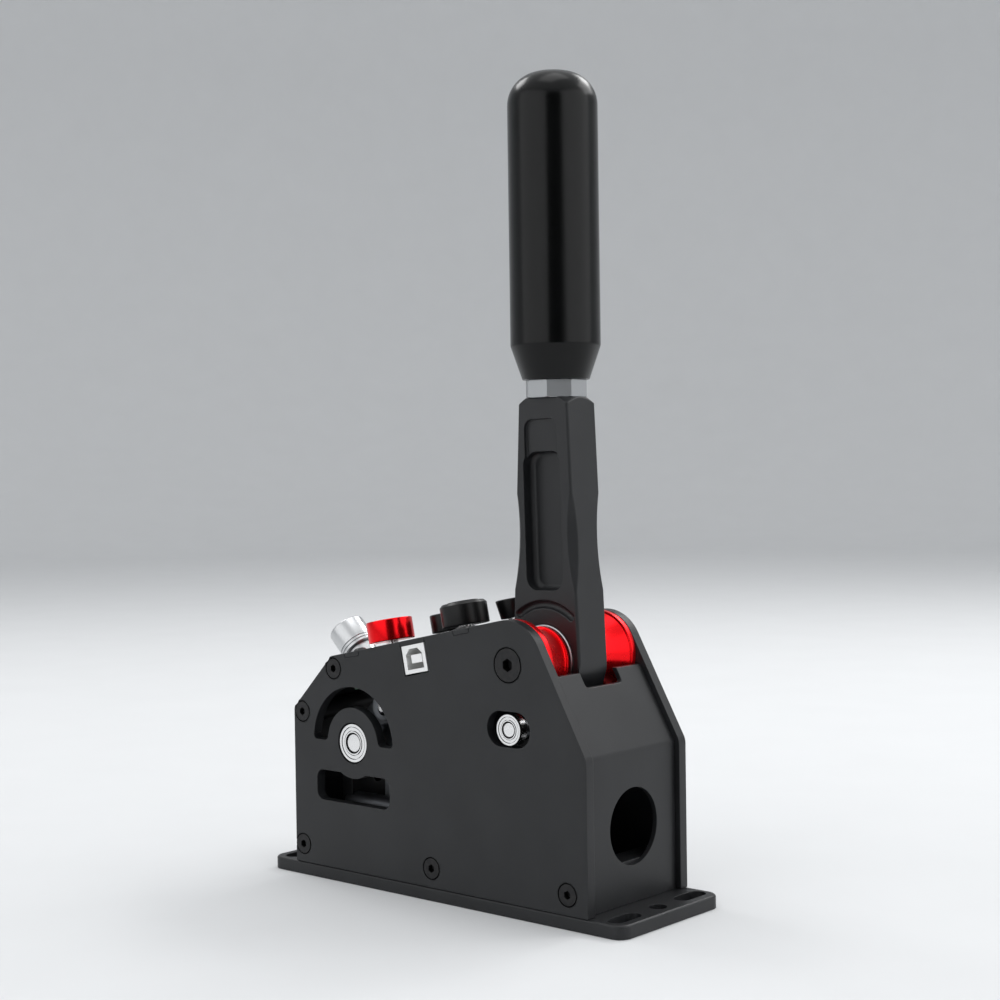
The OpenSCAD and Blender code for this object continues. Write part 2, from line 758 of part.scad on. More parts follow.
// Lever pivot
module pivot_shaft() {
    color("#b9bcc0")
    difference() {
        at_side(pivot, 1) translate([0, 0, -inner_y]) cylinder(d = shaft_d, h = 2 * inner_y);
        both_sides(pivot) translate([0, 0, inner_y - 14])
            cylinder(d = m6_d + 2 * slip, h = 14 + through);
    }
}
module lever_hubs() {
    lip = 1.1;
    seat = lever_t / 2 + lever_brg_out + 0.15;
    near = lever_t / 2 + 1.3;
    rim = inner_y - 2.4;
    steps = 12;
    waist = [for (i = [0 : steps]) let (u = i / steps)
        [hub_small_r - 0.7 + (hub_r - hub_small_r - 0.1) * pow(u, 1.7),
            near + lip + 0.4 + (rim - near - lip - 0.8) * u]];
    color("#c8102e")
    both_sides(pivot) rotate_extrude() polygon(concat(
        [[shaft_d / 2 + slip, inner_y], [shaft_d / 2 + slip, seat],
            [shaft_d / 2 + 1.9, seat], [shaft_d / 2 + 1.9, near],
            [hub_small_r - 0.3, near], [hub_small_r, near + 0.3], [hub_small_r, near + lip]],
        waist,
        [[hub_r, rim], [hub_r, inner_y - 0.3], [hub_r - 0.3, inner_y]]));
}
module rear_bearings() {
    color("#c9ccd0")
    both_sides(rear_shaft) translate([0, 0, half_w - 0.4 - rear_brg_w])
        bearing(rear_d + 2 * run, rear_brg_d, rear_brg_w);
}

// Centring unit
module rear_post() {
    color("#55575a")
    difference() {
        translate([post_x, 0, 0]) rotate([90, 0, 90])
            prism([[-15, base_t], [-15, base_t + post_h], [15, base_t + post_h],
                [15, base_t]], [0, 4, 4, 0], post_t);
        for (y = [-1, 1]) translate([post_x + post_wall, y * guide_y, guide_z]) rotate([0, 90, 0])
            cylinder(d = guide_d + 2 * slip, h = post_t);
        base_tap(post_x + post_t / 2, post_hole_y);
        translate([post_x - through, 0, base_t + post_h - 5]) rotate([0, 90, 0])
            cylinder(d = 5, h = post_t + 2 * through);
    }
}
module guide_rods() {
    x0 = post_x + post_wall + slip;
    x1 = mid_x - mid_l / 2 + guide_seat - slip;
    color("#9da0a4")
    for (y = [-1, 1]) translate([x0, y * guide_y, guide_z]) rotate([0, 90, 0])
        cylinder(d = guide_d, h = x1 - x0);
}
module rod_bush() {
    color("#b08d4f")
    translate([mid_x - mid_l / 2, 0, rod_z]) rotate([0, 90, 0])
        tube(rod_d + 3, rod_d + 2 * run, mid_l);
}
module centring_rod() {
    color("#c4c6c9")
    difference() {
        translate([rod_back, 0, rod_z]) rotate([0, 90, 0])
            cylinder(d = rod_d, h = front_collar_x + collar_l + 8 - rod_back);
        translate([-rear_x, 0, rod_z]) rotate([90, 0, 0])
            cylinder(d = pin_d + 2 * slip, h = 2 * rod_d, center = true);
    }
}
module drive_pin() {
    color("#c4c6c9")
    translate([-rear_x, 0, rod_z]) rotate([90, 0, 0])
        cylinder(d = pin_d, h = 2 * rocker_y - 0.2, center = true);
}
module spring_collars() {
    color("#77797c")
    for (x = [rear_collar_x - collar_l, front_collar_x]) translate([x, 0, rod_z])
        rotate([0, 90, 0]) tube(spring_d + 0.6, rod_d + 2 * slip, collar_l);
}
// Round wire carried along a helix about the rod, with eight rings in each turn
module helix(x0, x1, turns) {
    sides = 6;
    rings = 8 * turns;
    mean = (spring_d - wire_d) / 2;
    rise = (x1 - x0 - wire_d) / turns;
    lean = atan(rise / (2 * PI * mean));
    echo(spring_gap = rise - wire_d);
    pts = [for (i = [0 : rings]) let (a = 360 * i / 8, x = x0 + wire_d / 2 + rise * i / 8)
        for (j = [0 : sides - 1])
            let (b = 360 * j / sides, r = mean + wire_d / 2 * cos(b), w = wire_d / 2 * sin(b))
            [x + w * cos(lean), r * cos(a) + w * sin(lean) * sin(a),
                r * sin(a) - w * sin(lean) * cos(a)]];
    walls = [for (i = [0 : rings - 1], j = [0 : sides - 1])
        let (p = i * sides + j, q = i * sides + (j + 1) % sides)
        for (f = [[p, q, q + sides], [p, q + sides, p + sides]]) f];
    first = [for (j = [1 : sides - 2]) [0, j + 1, j]];
    base = rings * sides;
    last = [for (j = [1 : sides - 2]) [base, base + j, base + j + 1]];
    polyhedron(points = pts, faces = concat(walls, first, last));
}
module front_spring() {
    color("#8f9296")
    translate([0, 0, rod_z]) helix(mid_x + mid_l / 2 + slip, front_collar_x - 0.3, 8);
}
module rear_spring() {
    color("#8f9296")
    translate([0, 0, rod_z]) helix(rear_collar_x + 0.3, mid_x - mid_l / 2 - slip, 4);
}

// Electronics
module main_board() {
    color("#1f4a33")
    on_cover(0, 0) difference() {
        translate([board_s0, -inner_y + 0.3, -board_n - board_t])
            cube([board_s1 - board_s0, 2 * inner_y - 0.6, board_t]);
        translate([red_s, -near_y, -board_n - board_t / 2])
            cube([slider_w + 5, slider_w + 5, 3 * board_t], center = true);
    }
}
module usb_socket() {
    wall = 0.7;
    corner = 2.2;
    tall = usb_h - 0.05;
    color("#c5c8cb")
    on_cover(usb_s, -half_w) rotate([-90, 0, 0]) translate([0, sheet_t + 0.05, 0])
        difference() {
            linear_extrude(usb_d) polygon([[-usb_w / 2, tall], [usb_w / 2, tall],
                [usb_w / 2, 0], [-usb_w / 2, 0]]);
            translate([0, 0, -through]) linear_extrude(usb_d - usb_floor + through)
                polygon([[-usb_w / 2 + wall + 1, tall - wall - 0.9],
                    [usb_w / 2 - wall - 1, tall - wall - 0.9],
                    [usb_w / 2 - wall - 1, wall + 0.8 + corner], [usb_w / 2 - wall - 1 - corner, wall + 0.8],
                    [-usb_w / 2 + wall + 1 + corner, wall + 0.8], [-usb_w / 2 + wall + 1, wall + 0.8 + corner]]);
        }
}
module usb_tongue() {
    color("#e8e9ea")
    on_cover(usb_s, -half_w + tongue_in) rotate([-90, 0, 0])
        translate([-2.8, sheet_t + usb_h / 2 - 1.6, 0])
        cube([5.6, 3.2, usb_d - usb_floor - tongue_in]);
}
module board_posts() {
    color("#b9a06a")
    for (s = post_s, y = [-1, 1]) on_cover(s, y * cover_screw_y)
        translate([0, 0, -board_n]) difference() {
            cylinder(d = 5, h = board_n - sheet_t);
            translate([0, 0, 3]) cylinder(d = m3_d + 2 * slip, h = board_n);
        }
}
module encoders() {
    color("#7e8184")
    for (p = encoder_places) on_cover(p[0], p[1]) {
        difference() {
            union() {
                translate([-encoder_w / 2, -encoder_w / 2, -board_n])
                    cube([encoder_w, encoder_w, encoder_h]);
                translate([0, 0, -board_n]) cylinder(d = bushing_d, h = board_n + 1.9);
            }
            translate([0, 0, -board_n + 2]) cylinder(d = shaft6 + 2 * run, h = board_n + 5);
        }
        difference() {
            cylinder(d = 10 / cos(30), h = 1.6, $fn = 6);
            translate([0, 0, -through]) cylinder(d = bushing_d + 2 * slip, h = 4);
        }
    }
}
module knob_shaft(s, y, up) {
    on_cover(s, y) translate([0, 0, -board_n + 2.3]) cylinder(d = shaft6, h = board_n - 2.3 + up);
}

// Friction adjuster under the red knob
module adjuster_guide() {
    side = guide_in + 2 * guide_wall;
    color("#3a3b3d")
    on_cover(red_s, -near_y) translate([0, 0, -sheet_t - guide_long / 2]) difference() {
        cube([side, side, guide_long], center = true);
        cube([guide_in, guide_in, guide_long + 2 * through], center = true);
    }
}
module adjuster_spindle() {
    color("#b9bcc0")
    on_cover(red_s, -near_y) translate([0, 0, -pad_n + pad_t + 2.6])
        cylinder(d = spindle_d, h = pad_n - pad_t - 2.6 + knob_gap + red_h - 2);
}
module friction_slider() {
    color("#9a7b45")
    on_cover(red_s, -near_y) translate([0, 0, -pad_n + pad_t]) difference() {
        translate([-slider_w / 2, -slider_w / 2, 0]) cube([slider_w, slider_w, 8.5]);
        translate([0, 0, 0.8]) cylinder(d = spindle_d + 2 * run, h = 10);
    }
}
module friction_pad() {
    color("#4a3a2a")
    on_cover(red_s, -near_y) translate([0, 0, -pad_n]) cylinder(d = pad_d, h = pad_t);
}

// Index plunger under the silver knob
module plunger_sleeve() {
    inside = 9;
    color("#d0d2d4")
    on_facet(silver_s, silver_y) difference() {
        union() {
            translate([0, 0, -inside]) cylinder(d = sleeve_d, h = inside + 1);
            cylinder(d = sleeve_collar_d, h = sleeve_h);
        }
        translate([0, 0, -inside - through])
            cylinder(d = plunger_d + 2 * run, h = inside + sleeve_h + 2 * through);
    }
}
module plunger_nut() {
    color("#8a8d90")
    on_facet(silver_s, silver_y) translate([0, 0, -sheet_t - 3])
        tube(12, sleeve_d + 2 * slip, 3);
}
module silver_knob() {
    r = silver_d / 2;
    bore = plunger_d / 2 + slip;
    ring = 0.3;
    color("#d6d8da")
    on_facet(silver_s, silver_y) translate([0, 0, sleeve_h + 0.3]) rotate_extrude()
        polygon([[bore, 0], [r - 0.5, 0], [r - 0.2, 0.3], [r - 0.2, 1], [r - ring - 0.2, 1.1],
            [r - ring - 0.2, 1.5], [r - 0.1, 1.6], [r - 0.1, 2.3], [r - ring - 0.1, 2.4],
            [r - ring - 0.1, 2.8], [r, 2.9], [r, silver_h - 0.8], [r - 0.25, silver_h - 0.25],
            [r - 0.8, silver_h], [0, silver_h], [0, silver_h - 3], [bore, silver_h - 3]]);
}
module plunger_pin() {
    color("#c4c6c9")
    on_facet(silver_s, silver_y) translate([0, 0, -plunger_reach])
        cylinder(d = plunger_d, h = plunger_reach + sleeve_h + silver_h - 3);
}

// Lever
module lever_flanks() {
    top_half = boss_r / cos(taper_a) - arm_h * tan(taper_a);
    lean = asin((boss_r - lower_r) / lower_arm);
    translate([pivot_x, pivot_z, 0]) {
        cylinder(r = boss_r + proud, h = lever_t);
        translate([0, -lower_arm, 0]) cylinder(r = lower_r + proud, h = lever_t);
        linear_extrude(lever_t)
            polygon([[-top_half, arm_h], [top_half, arm_h],
                [boss_r * cos(taper_a), boss_r * sin(taper_a)],
                [boss_r * cos(lean), -boss_r * sin(lean)],
                [lower_r * cos(lean), -lower_arm - lower_r * sin(lean)],
                [-lower_r * cos(lean), -lower_arm - lower_r * sin(lean)],
                [-boss_r * cos(lean), -boss_r * sin(lean)],
                [-boss_r * cos(taper_a), boss_r * sin(taper_a)]]);
    }
}
module edge_chamfers() {
    side = arm_chamfer * sqrt(2);
    for (sx = [-1, 1], sy = [-1, 1])
        translate([pivot_x, 0, pivot_z]) rotate([0, -sx * taper_a, 0])
            translate([sx * boss_r, sy * lever_t / 2, arm_h / 2 - 2]) rotate([0, 0, 45])
                cube([side, side, arm_h + 10], center = true);
}
module waist_hollows() {
    h = 0.485 * arm_h;
    half = boss_r / cos(taper_a) - h * tan(taper_a);
    reach = (half + lever_t / 2) / sqrt(2) - waist_chamfer / sqrt(2);
    for (sx = [-1, 1], sy = [-1, 1])
        translate([pivot_x, 0, pivot_z + h]) rotate([0, 0, atan2(sy, sx)])
            translate([reach + waist_r, 0, 0]) rotate([90, 0, 0])
                cylinder(r = waist_r, h = 24, center = true, $fn = 180);
}
// Pocket with round corners and a filleted floor, sunk towards +Z from z = 0
module pocket(w, l, r, f, depth) {
    cut() rounded_box(w, l, r, depth - f + through, 0);
    cut() rounded_box(w - 2 * f, l - 2 * f, r - f, depth + through, 0);
    for (a = [-1, 1], b = [-1, 1])
        translate([a * (w / 2 - r), b * (l / 2 - r), depth - f])
            rotate_extrude() translate([r - f, 0]) circle(r = f);
    for (a = [-1, 1]) {
        translate([a * (w / 2 - f), 0, depth - f]) rotate([90, 0, 0])
            cylinder(r = f, h = l - 2 * r, center = true);
        translate([0, a * (l / 2 - f), depth - f]) rotate([0, 90, 0])
            cylinder(r = f, h = w - 2 * r, center = true);
    }
}
module lever_face_cuts(side) {
    tilt = 1.3;
    pocket_top = 77;
    pocket_r = 5;
    floor_r = 2;
    upper_rise = 2;
    upper_l = 20;
    upper_r = 3.5;
    translate([pivot_x, side * lever_t / 2, pivot_z]) rotate([90, 0, 0])
        scale([1, 1, side]) {
            translate([-0.3, pocket_top - pocket_l / 2, 0]) rotate([0, 0, tilt])
                pocket(pocket_w, pocket_l, pocket_r, floor_r, pocket_d);
            translate([-0.9, pocket_top + upper_rise, -through]) rotate([0, 0, tilt])
                rounded_box(pocket_w - 1.8, upper_l, upper_r, shallow_d + through);
            groove_shape();
        }
}
module groove_shape() {
    half = 37;
    far = 3 * groove_r;
    r = groove_w / 2;
    mean = groove_r + r;
    intersection() {
        rotate_extrude() translate([mean, 0]) circle(r = r);
        translate([0, 0, -groove_w]) linear_extrude(2 * groove_w)
            polygon([[0, 0], [-far * sin(half), far * cos(half)],
                [far * sin(half), far * cos(half)]]);
    }
    for (s = [-1, 1]) translate([s * mean * sin(half), mean * cos(half), 0])
        sphere(r = r + proud);
}
module arm_blank() {
    crown = 11.4;
    crown_h = 5;
    wide = 60;
    difference() {
        intersection() {
            slab(lever_t / 2) lever_flanks();
            translate([pivot_x, 0, 0]) rotate_extrude() polygon([[0, 0], [wide, 0],
                [wide, arm_top - crown_h], [crown + 6, arm_top - crown_h], [crown, arm_top],
                [0, arm_top]]);
        }
        edge_chamfers();
    }
}
module waisted_blank() {
    difference() {
        arm_blank();
        waist_hollows();
    }
}
module lever_arm() {
    color("#2a2b2d")
    difference() {
        waisted_blank();
        for (side = [-1, 1]) lever_face_cuts(side);
        both_sides(pivot) translate([0, 0, brg_seat])
            cylinder(d = lever_brg_d + 2 * slip, h = lever_brg_w + through);
        at_side(pivot, 1) cylinder(d = shaft_d + 4, h = lever_t + 2 * through, center = true);
        at_side([pivot_x, cross_z], 1)
            cylinder(d = cross_d + 2 * slip, h = lever_t + 2 * through, center = true);
        translate([pivot_x, 0, arm_top - stud_in]) cylinder(d = stud_d + 2 * slip, h = stud_in + through);
    }
}
module lever_bearings() {
    color("#c9ccd0")
    both_sides(pivot) translate([0, 0, brg_seat])
        bearing(shaft_d + 2 * run, lever_brg_d, lever_brg_w);
}
module grip_stud() {
    color("#b9bcc0")
    translate([pivot_x, 0, arm_top - stud_in]) cylinder(d = stud_d, h = stud_in + nut_h + stud_up);
}
module lock_nut() {
    corner = nut_af / 2 / cos(22.5);
    edge = 0.3;
    color("#d6d8da")
    translate([pivot_x, 0, arm_top]) difference() {
        intersection() {
            linear_extrude(nut_h) polygon([for (k = [0 : 7])
                [corner * cos(22.5 + 45 * k), corner * sin(22.5 + 45 * k)]]);
            rotate_extrude() polygon([[0, 0], [corner - edge, 0], [corner + 0.1, edge + 0.1],
                [corner + 0.1, nut_h - edge - 0.1], [corner - edge, nut_h], [0, nut_h]]);
        }
        translate([0, 0, -through]) cylinder(d = stud_d + 2 * slip, h = nut_h + 2 * through);
    }
}
module grip() {
    r = grip_d / 2;
    foot = grip_foot_d / 2;
    bore = stud_d / 2 + slip;
    color("#1c1d1e")
    translate([pivot_x, 0, arm_top + nut_h]) rotate_extrude() {
        polygon([[bore, 0], [foot - 0.6, 0], [foot, 0.6], [r - 0.15, grip_cone - 0.3],
            [r, grip_cone + 0.4], [r, grip_l - grip_round], [r - grip_round, grip_l - grip_round],
            [r - grip_round, grip_l], [0, grip_l], [0, stud_up + 1], [bore, stud_up + 1]]);
        translate([r - grip_round, grip_l - grip_round]) intersection() {
            circle(r = grip_round);
            square(grip_round);
        }
    }
}
module cross_pin() {
    color("#c4c6c9")
    at_side([pivot_x, cross_z], 1)
        cylinder(d = cross_d, h = 2 * (half_w - 0.4), center = true);
}
module pin_spacers() {
    color("#77797c")
    both_sides([pivot_x, cross_z]) translate([0, 0, link_y + link_t + 0.2])
        tube(9, cross_d + 2 * slip, roller_y - link_y - link_t - 0.2);
}
module guide_rollers() {
    color("#c9ccd0")
    both_sides([pivot_x, cross_z]) translate([0, 0, roller_y])
        bearing(cross_d + 2 * slip, roller_d, roller_w);
}

// Linkage
module link_bars() {
    eye = 6;
    hole_h = pin_d + 2 * sag + 0.4;
    rear_eye = hole_h / 2 + 2.2;
    color("#6c6f72")
    for (side = [-1, 1])
        slab(side < 0 ? -link_y : link_y + link_t) difference() {
            union() {
                translate([pivot_x, link_z, 0]) cylinder(r = eye, h = link_t);
                translate([-rear_x, link_z, 0]) cylinder(r = rear_eye, h = link_t);
                translate([-rear_x, link_z - 4, 0]) cube([pivot_x + rear_x, 8, link_t]);
            }
            translate([pivot_x, link_z, -through])
                cylinder(d = cross_d + 2 * run, h = link_t + 2 * through);
            translate([-rear_x, link_z, -through]) rotate([0, 0, 90])
                stadium(hole_h, pin_d + 0.4, link_t + 2 * through);
        }
}
function polar(r, a) = [-r * sin(a), r * cos(a)];
module sector(r, a0, a1, t) {
    intersection() {
        cylinder(r = r, h = t);
        linear_extrude(t)
            polygon(concat([[0, 0]], [for (k = [0 : 6]) polar(2 * r, a0 + (a1 - a0) * k / 6)]));
    }
}
module rocker() {
    hub = 11;
    arm_w = 10.4;
    tip = 2.2;
    thick = 2 * rocker_y;
    slot_low = rocker_down / cos(rocker_swing) + pin_d / 2 + 0.4;
    slot_high = rocker_down - pin_d / 2 - 0.4;
    color("#8b8e92")
    translate([rear_shaft[0], 0, rear_shaft[1]]) difference() {
        slab(rocker_y) difference() {
            union() {
                cylinder(r = hub, h = thick);
                sector(rim_r, -46, 84, thick);
                prism([[-arm_w / 2, 0], [-arm_w / 2, -slot_low - tip],
                    [arm_w / 2, -slot_low - tip], [arm_w / 2, 0]], [0, 4, 4, 0], thick);
            }
            cut() cylinder(d = rear_d + 2 * slip, h = thick + 2 * through);
            translate([0, rocker_up, -through])
                cylinder(d = pin_d + 2 * slip, h = thick + 2 * through);
            translate([0, -(slot_low + slot_high) / 2, -through]) rotate([0, 0, 90])
                stadium(slot_low - slot_high, pin_d + 0.4, thick + 2 * through);
        }
        slab(rocker_y + through) difference() {
            sector(rim_r + 2, 5, 69, rocker_y + through + 0.3);
            cut() cylinder(r = recess_r, h = thick + 2 * through);
        }
        translate([-arm_w, -rod_d / 2 - 0.3, -slot_low - 10])
            cube([2 * arm_w, rod_d + 0.6, slot_low + 10 - 18]);
    }
}
module rocker_shaft() {
    color("#d0d2d4")
    at_side(rear_shaft, 1) cylinder(d = rear_d, h = 2 * (half_w - 0.8), center = true);
}
module link_pin() {
    color("#c4c6c9")
    at_side([-rear_x, link_z], 1)
        cylinder(d = pin_d, h = 2 * (link_y + link_t + 0.6), center = true);
}
module shaft_spacers() {
    color("#77797c")
    both_sides(rear_shaft) translate([0, 0, rocker_y])
        tube(11, rear_d + 2 * slip, half_w - 0.4 - rear_brg_w - 0.2 - rocker_y);
}

// Knobs
module turned_knob(d, top_d, h, edge) {
    bore = shaft6 / 2 + slip;
    rotate_extrude() polygon([[bore, 0], [d / 2 - 0.4, 0], [d / 2, 0.4], [top_d / 2, h - edge],
        [top_d / 2 - edge * 0.3, h - edge * 0.3], [top_d / 2 - edge, h], [0, h], [0, h - 2],
        [bore, h - 2]]);
}
module red_knob() {
    r = red_d / 2;
    bore = spindle_d / 2 + slip;
    color("#d01020")
    on_cover(red_s, -near_y) translate([0, 0, knob_gap]) rotate_extrude()
        polygon([[bore, 0], [r - 0.4, 0], [r, 0.4], [r, red_h - 0.5], [r - 0.5, red_h],
            [r - 2.6, red_h], [r - 3, red_h - 0.6], [0, red_h - 0.6], [0, red_h - 2],
            [bore, red_h - 2]]);
}
module black_knob() {
    raised = 0.4;
    color("#1b1c1d")
    on_cover(black_s, -near_y) translate([0, 0, knob_gap]) {
        turned_knob(black_d, black_d, black_h - raised, 1.5);
        translate([0, 0, black_h - raised]) cylinder(d = black_d - 6.4, h = raised);
    }
}
module black_knob_shaft() {
    color("#a8abae") knob_shaft(black_s, -near_y, knob_gap + black_h - 2.4);
}
module rear_knob() {
    color("#1b1c1d")
    on_cover(rear_knob_s, far_y) translate([0, 0, knob_gap])
        turned_knob(rear_knob_d, rear_knob_d, small_h, 0.6);
}
module rear_knob_shaft() {
    color("#a8abae") knob_shaft(rear_knob_s, far_y, knob_gap + small_h - 2);
}
module flared_knob() {
    color("#1b1c1d")
    on_cover(flared_s, far_y) translate([0, 0, knob_gap])
        turned_knob(flared_d, flared_d + flare, small_h, 0.5);
}
module flared_knob_shaft() {
    color("#a8abae") knob_shaft(flared_s, far_y, knob_gap + small_h - 2);
}

base_plate();
right_side_plate();
left_side_plate();
top_cover();
front_panel();
rear_panel();
front_block();
middle_block();
rear_block();
tie_bars();
side_screws();
pivot_screws();
base_screws();
cover_screws();
rear_screws();
pivot_shaft();
lever_hubs();
rear_bearings();
rear_post();
guide_rods();
rod_bush();
main_board();
usb_socket();
usb_tongue();
board_posts();
encoders();
adjuster_guide();
plunger_sleeve();
plunger_nut();
lever_arm();
lever_bearings();
grip_stud();
lock_nut();
grip();
cross_pin();
pin_spacers();
guide_rollers();
link_bars();
rocker();
rocker_shaft();
link_pin();
shaft_spacers();
centring_rod();
drive_pin();
spring_collars();
front_spring();
rear_spring();
red_knob();
adjuster_spindle();
friction_slider();
friction_pad();
black_knob();
black_knob_shaft();
rear_knob();
rear_knob_shaft();
flared_knob();
flared_knob_shaft();
silver_knob();
plunger_pin();
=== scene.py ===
# %% [markdown]
# A sprung gear lever on a black housing, dressed for a studio picture.
#
# The construction model gives every piece its place and its real size. This script keeps those places
# and gives each piece the surface that the real one has: broken edges, turned and ground faces, and
# finishes such as bead-blasted black anodising, black oxide, red anodising and ground bearing steel.
# It is written as a lesson. Each text cell says what a piece or a finish is on the real object, how it
# could be made in Blender, and why it is made the way that follows.

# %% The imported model
import json
import math

import bmesh
import bpy
import numpy as np
from mathutils import Matrix, Vector
from mathutils.bvhtree import BVHTree

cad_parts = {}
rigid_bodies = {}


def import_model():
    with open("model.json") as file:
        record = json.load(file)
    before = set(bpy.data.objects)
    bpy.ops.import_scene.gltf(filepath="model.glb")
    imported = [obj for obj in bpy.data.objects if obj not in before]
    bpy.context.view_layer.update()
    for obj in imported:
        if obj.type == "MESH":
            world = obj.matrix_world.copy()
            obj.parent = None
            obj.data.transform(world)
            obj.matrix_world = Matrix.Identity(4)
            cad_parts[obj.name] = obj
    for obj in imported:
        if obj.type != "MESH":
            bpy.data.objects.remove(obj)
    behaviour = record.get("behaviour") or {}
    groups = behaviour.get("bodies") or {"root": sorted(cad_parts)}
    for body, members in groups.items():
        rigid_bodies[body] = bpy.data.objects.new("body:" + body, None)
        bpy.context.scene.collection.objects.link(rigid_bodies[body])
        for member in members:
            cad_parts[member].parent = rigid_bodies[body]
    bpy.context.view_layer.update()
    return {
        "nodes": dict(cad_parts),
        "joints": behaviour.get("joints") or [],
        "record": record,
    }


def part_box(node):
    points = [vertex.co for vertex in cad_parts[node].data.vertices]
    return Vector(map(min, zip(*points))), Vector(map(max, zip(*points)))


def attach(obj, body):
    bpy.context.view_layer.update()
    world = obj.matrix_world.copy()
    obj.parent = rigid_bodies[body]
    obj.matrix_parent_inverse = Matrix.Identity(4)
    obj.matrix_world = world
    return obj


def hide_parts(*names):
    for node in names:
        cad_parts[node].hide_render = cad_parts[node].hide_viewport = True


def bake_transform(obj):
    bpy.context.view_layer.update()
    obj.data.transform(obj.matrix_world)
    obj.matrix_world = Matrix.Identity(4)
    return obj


for thing in list(bpy.data.objects):
    bpy.data.objects.remove(thing)
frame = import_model()
MM = 0.001

# %% [markdown]
# Where the camera stands
#
# The picture of this object was taken with a short telephoto lens, a little to the right of the front
# corner and almost level with the housing. Straight edges that meet at vanishing points give the lens and
# the three angles; known sizes on the object give the distance. A camera looks along its own negative Z,
# so its three axes are written as the columns of a matrix: right, up, back.

# %% Camera
LENS_MM, FILM_MM = 62.06, 36.0
YAW, PITCH, ROLL = np.radians([41.23, 1.13, -0.83])
STAND = np.array([446.58, -497.25, 163.35]) * MM
NEAR_M = 0.01

ahead = np.array([-math.sin(YAW) * math.cos(PITCH), math.cos(YAW) * math.cos(PITCH), -math.sin(PITCH)])
level = np.array([math.cos(YAW), math.sin(YAW), 0.0])
upright = np.cross(level, ahead)
right = math.cos(ROLL) * level + math.sin(ROLL) * upright
up = -math.sin(ROLL) * level + math.cos(ROLL) * upright

camera_data = bpy.data.cameras.new("studio_camera")
camera_data.lens = LENS_MM
camera_data.sensor_width = FILM_MM
camera_data.clip_start = NEAR_M
camera = bpy.data.objects.new("studio_camera", camera_data)
columns = np.array([right, up, -ahead, STAND])
camera.matrix_world = Matrix([*columns.T.tolist(), [0, 0, 0, 1]])
bpy.context.scene.collection.objects.link(camera)
bpy.context.scene.camera = camera
print("camera", STAND, "looks along", ahead.round(3))

# %% [markdown]
# Colours and shader nodes
#
# Colours are written as the hex values that a paint chart gives, and a render works in linear light, so
# one function turns the one into the other. A second function adds a shader node: its settings are
# properties of the node or values of its sockets, and its links join sockets by name. A third starts a
# material that has one shader in it.

# %% Colour and node helpers
def linear(code):
    """Linear colour of a hex code: c / 12.92 where c is small, else ((c + 0.055) / 1.055) to the 2.4."""
    channel = np.array([int(code[i:i + 2], 16) for i in (1, 3, 5)]) / 255
    curve = np.where(channel <= 0.04045, channel / 12.92, ((channel + 0.055) / 1.055) ** 2.4)
    return (*curve.tolist(), 1.0)


def add(tree, kind, settings=None, links=None):
    """Adds one shader node. Names that are properties are set, other names are sockets."""
    node = tree.nodes.new(kind)
    for name, value in (settings or {}).items():
        if isinstance(name, str) and hasattr(node, name):
            setattr(node, name, value)
        else:
            node.inputs[name].default_value = value
    for name, source in (links or {}).items():
        tree.links.new(source, node.inputs[name])
    return node


def start(name, **sockets):
    """A material with one Principled shader. Returns the material, its tree, the shader and the place."""
    material = bpy.data.materials.new(name)
    material.use_nodes = True
    tree = material.node_tree
    tree.nodes.clear()
    values = {key.replace("_", " "): value for key, value in sockets.items()}
    shader = add(tree, "ShaderNodeBsdfPrincipled", values)
    add(tree, "ShaderNodeOutputMaterial", links={"Surface": shader.outputs["BSDF"]})
    place = add(tree, "ShaderNodeTexCoord").outputs["Object"]
    return material, tree, shader, place


print("a mid grey of #808080 is", round(linear("#808080")[0], 3), "in linear light")

# %% [markdown]
# What finishes share
#
# No real surface is even. A noise stands for that, and it can do three things to a finish: move its
# colour, move its gloss, or raise a fine relief on it. Each of the three is a small function that joins
# the noise to the shader, so that a material below reads as a list of what it is made of. Lumps are given
# in millimetres. The coordinates are in metres, so the noise's scale is one over the size in metres.

# %% Noise, and what it does to a finish
def noise(tree, place, size_mm, detail=3.0):
    """Noise with lumps of about size_mm."""
    scale = 1 / (size_mm * MM)
    return add(tree, "ShaderNodeTexNoise", {"Scale": scale, "Detail": detail}, {"Vector": place})


def toned(tree, shader, cloud, dark, light, low, high):
    """The colour is dark where the noise is below low, and light where it is above high."""
    tone = add(tree, "ShaderNodeValToRGB", links={"Fac": cloud.outputs["Fac"]})
    for stop, code, position in zip(tone.color_ramp.elements, (dark, light), (low, high)):
        stop.color = linear(code)
        stop.position = position
    tree.links.new(tone.outputs["Color"], shader.inputs["Base Color"])


def glossed(tree, shader, cloud, low, high):
    """The roughness follows the noise, from low to high."""
    gloss = add(tree, "ShaderNodeMapRange", {"To Min": low, "To Max": high},
                {"Value": cloud.outputs["Fac"]})
    tree.links.new(gloss.outputs["Result"], shader.inputs["Roughness"])


def bumped(tree, shader, relief, strength, depth_mm):
    """The noise raises a relief of depth_mm."""
    bump = add(tree, "ShaderNodeBump", {"Strength": strength, "Distance": depth_mm * MM},
               {"Height": relief.outputs["Fac"]})
    tree.links.new(bump.outputs["Normal"], shader.inputs["Normal"])


# %% [markdown]
# Bead-blasted black anodising
#
# The side plates, the cover, the front panel and the lever are milled or bent aluminium, blasted with
# glass beads and then anodised black. The blasting leaves a fine satin grain, so the black never mirrors
# anything: it only lightens softly towards a lamp. The dye takes a little unevenly from batch to batch.
# Grain of 0.1 mm is finer than a pixel here, so it is drawn at 0.25 mm, as a shallow bump. A second,
# much larger noise moves the roughness and the colour by a few hundredths. The oxide that holds the dye
# is sealed and blasted, and mirrors a little less than plain glass does, so its level is 0.4.

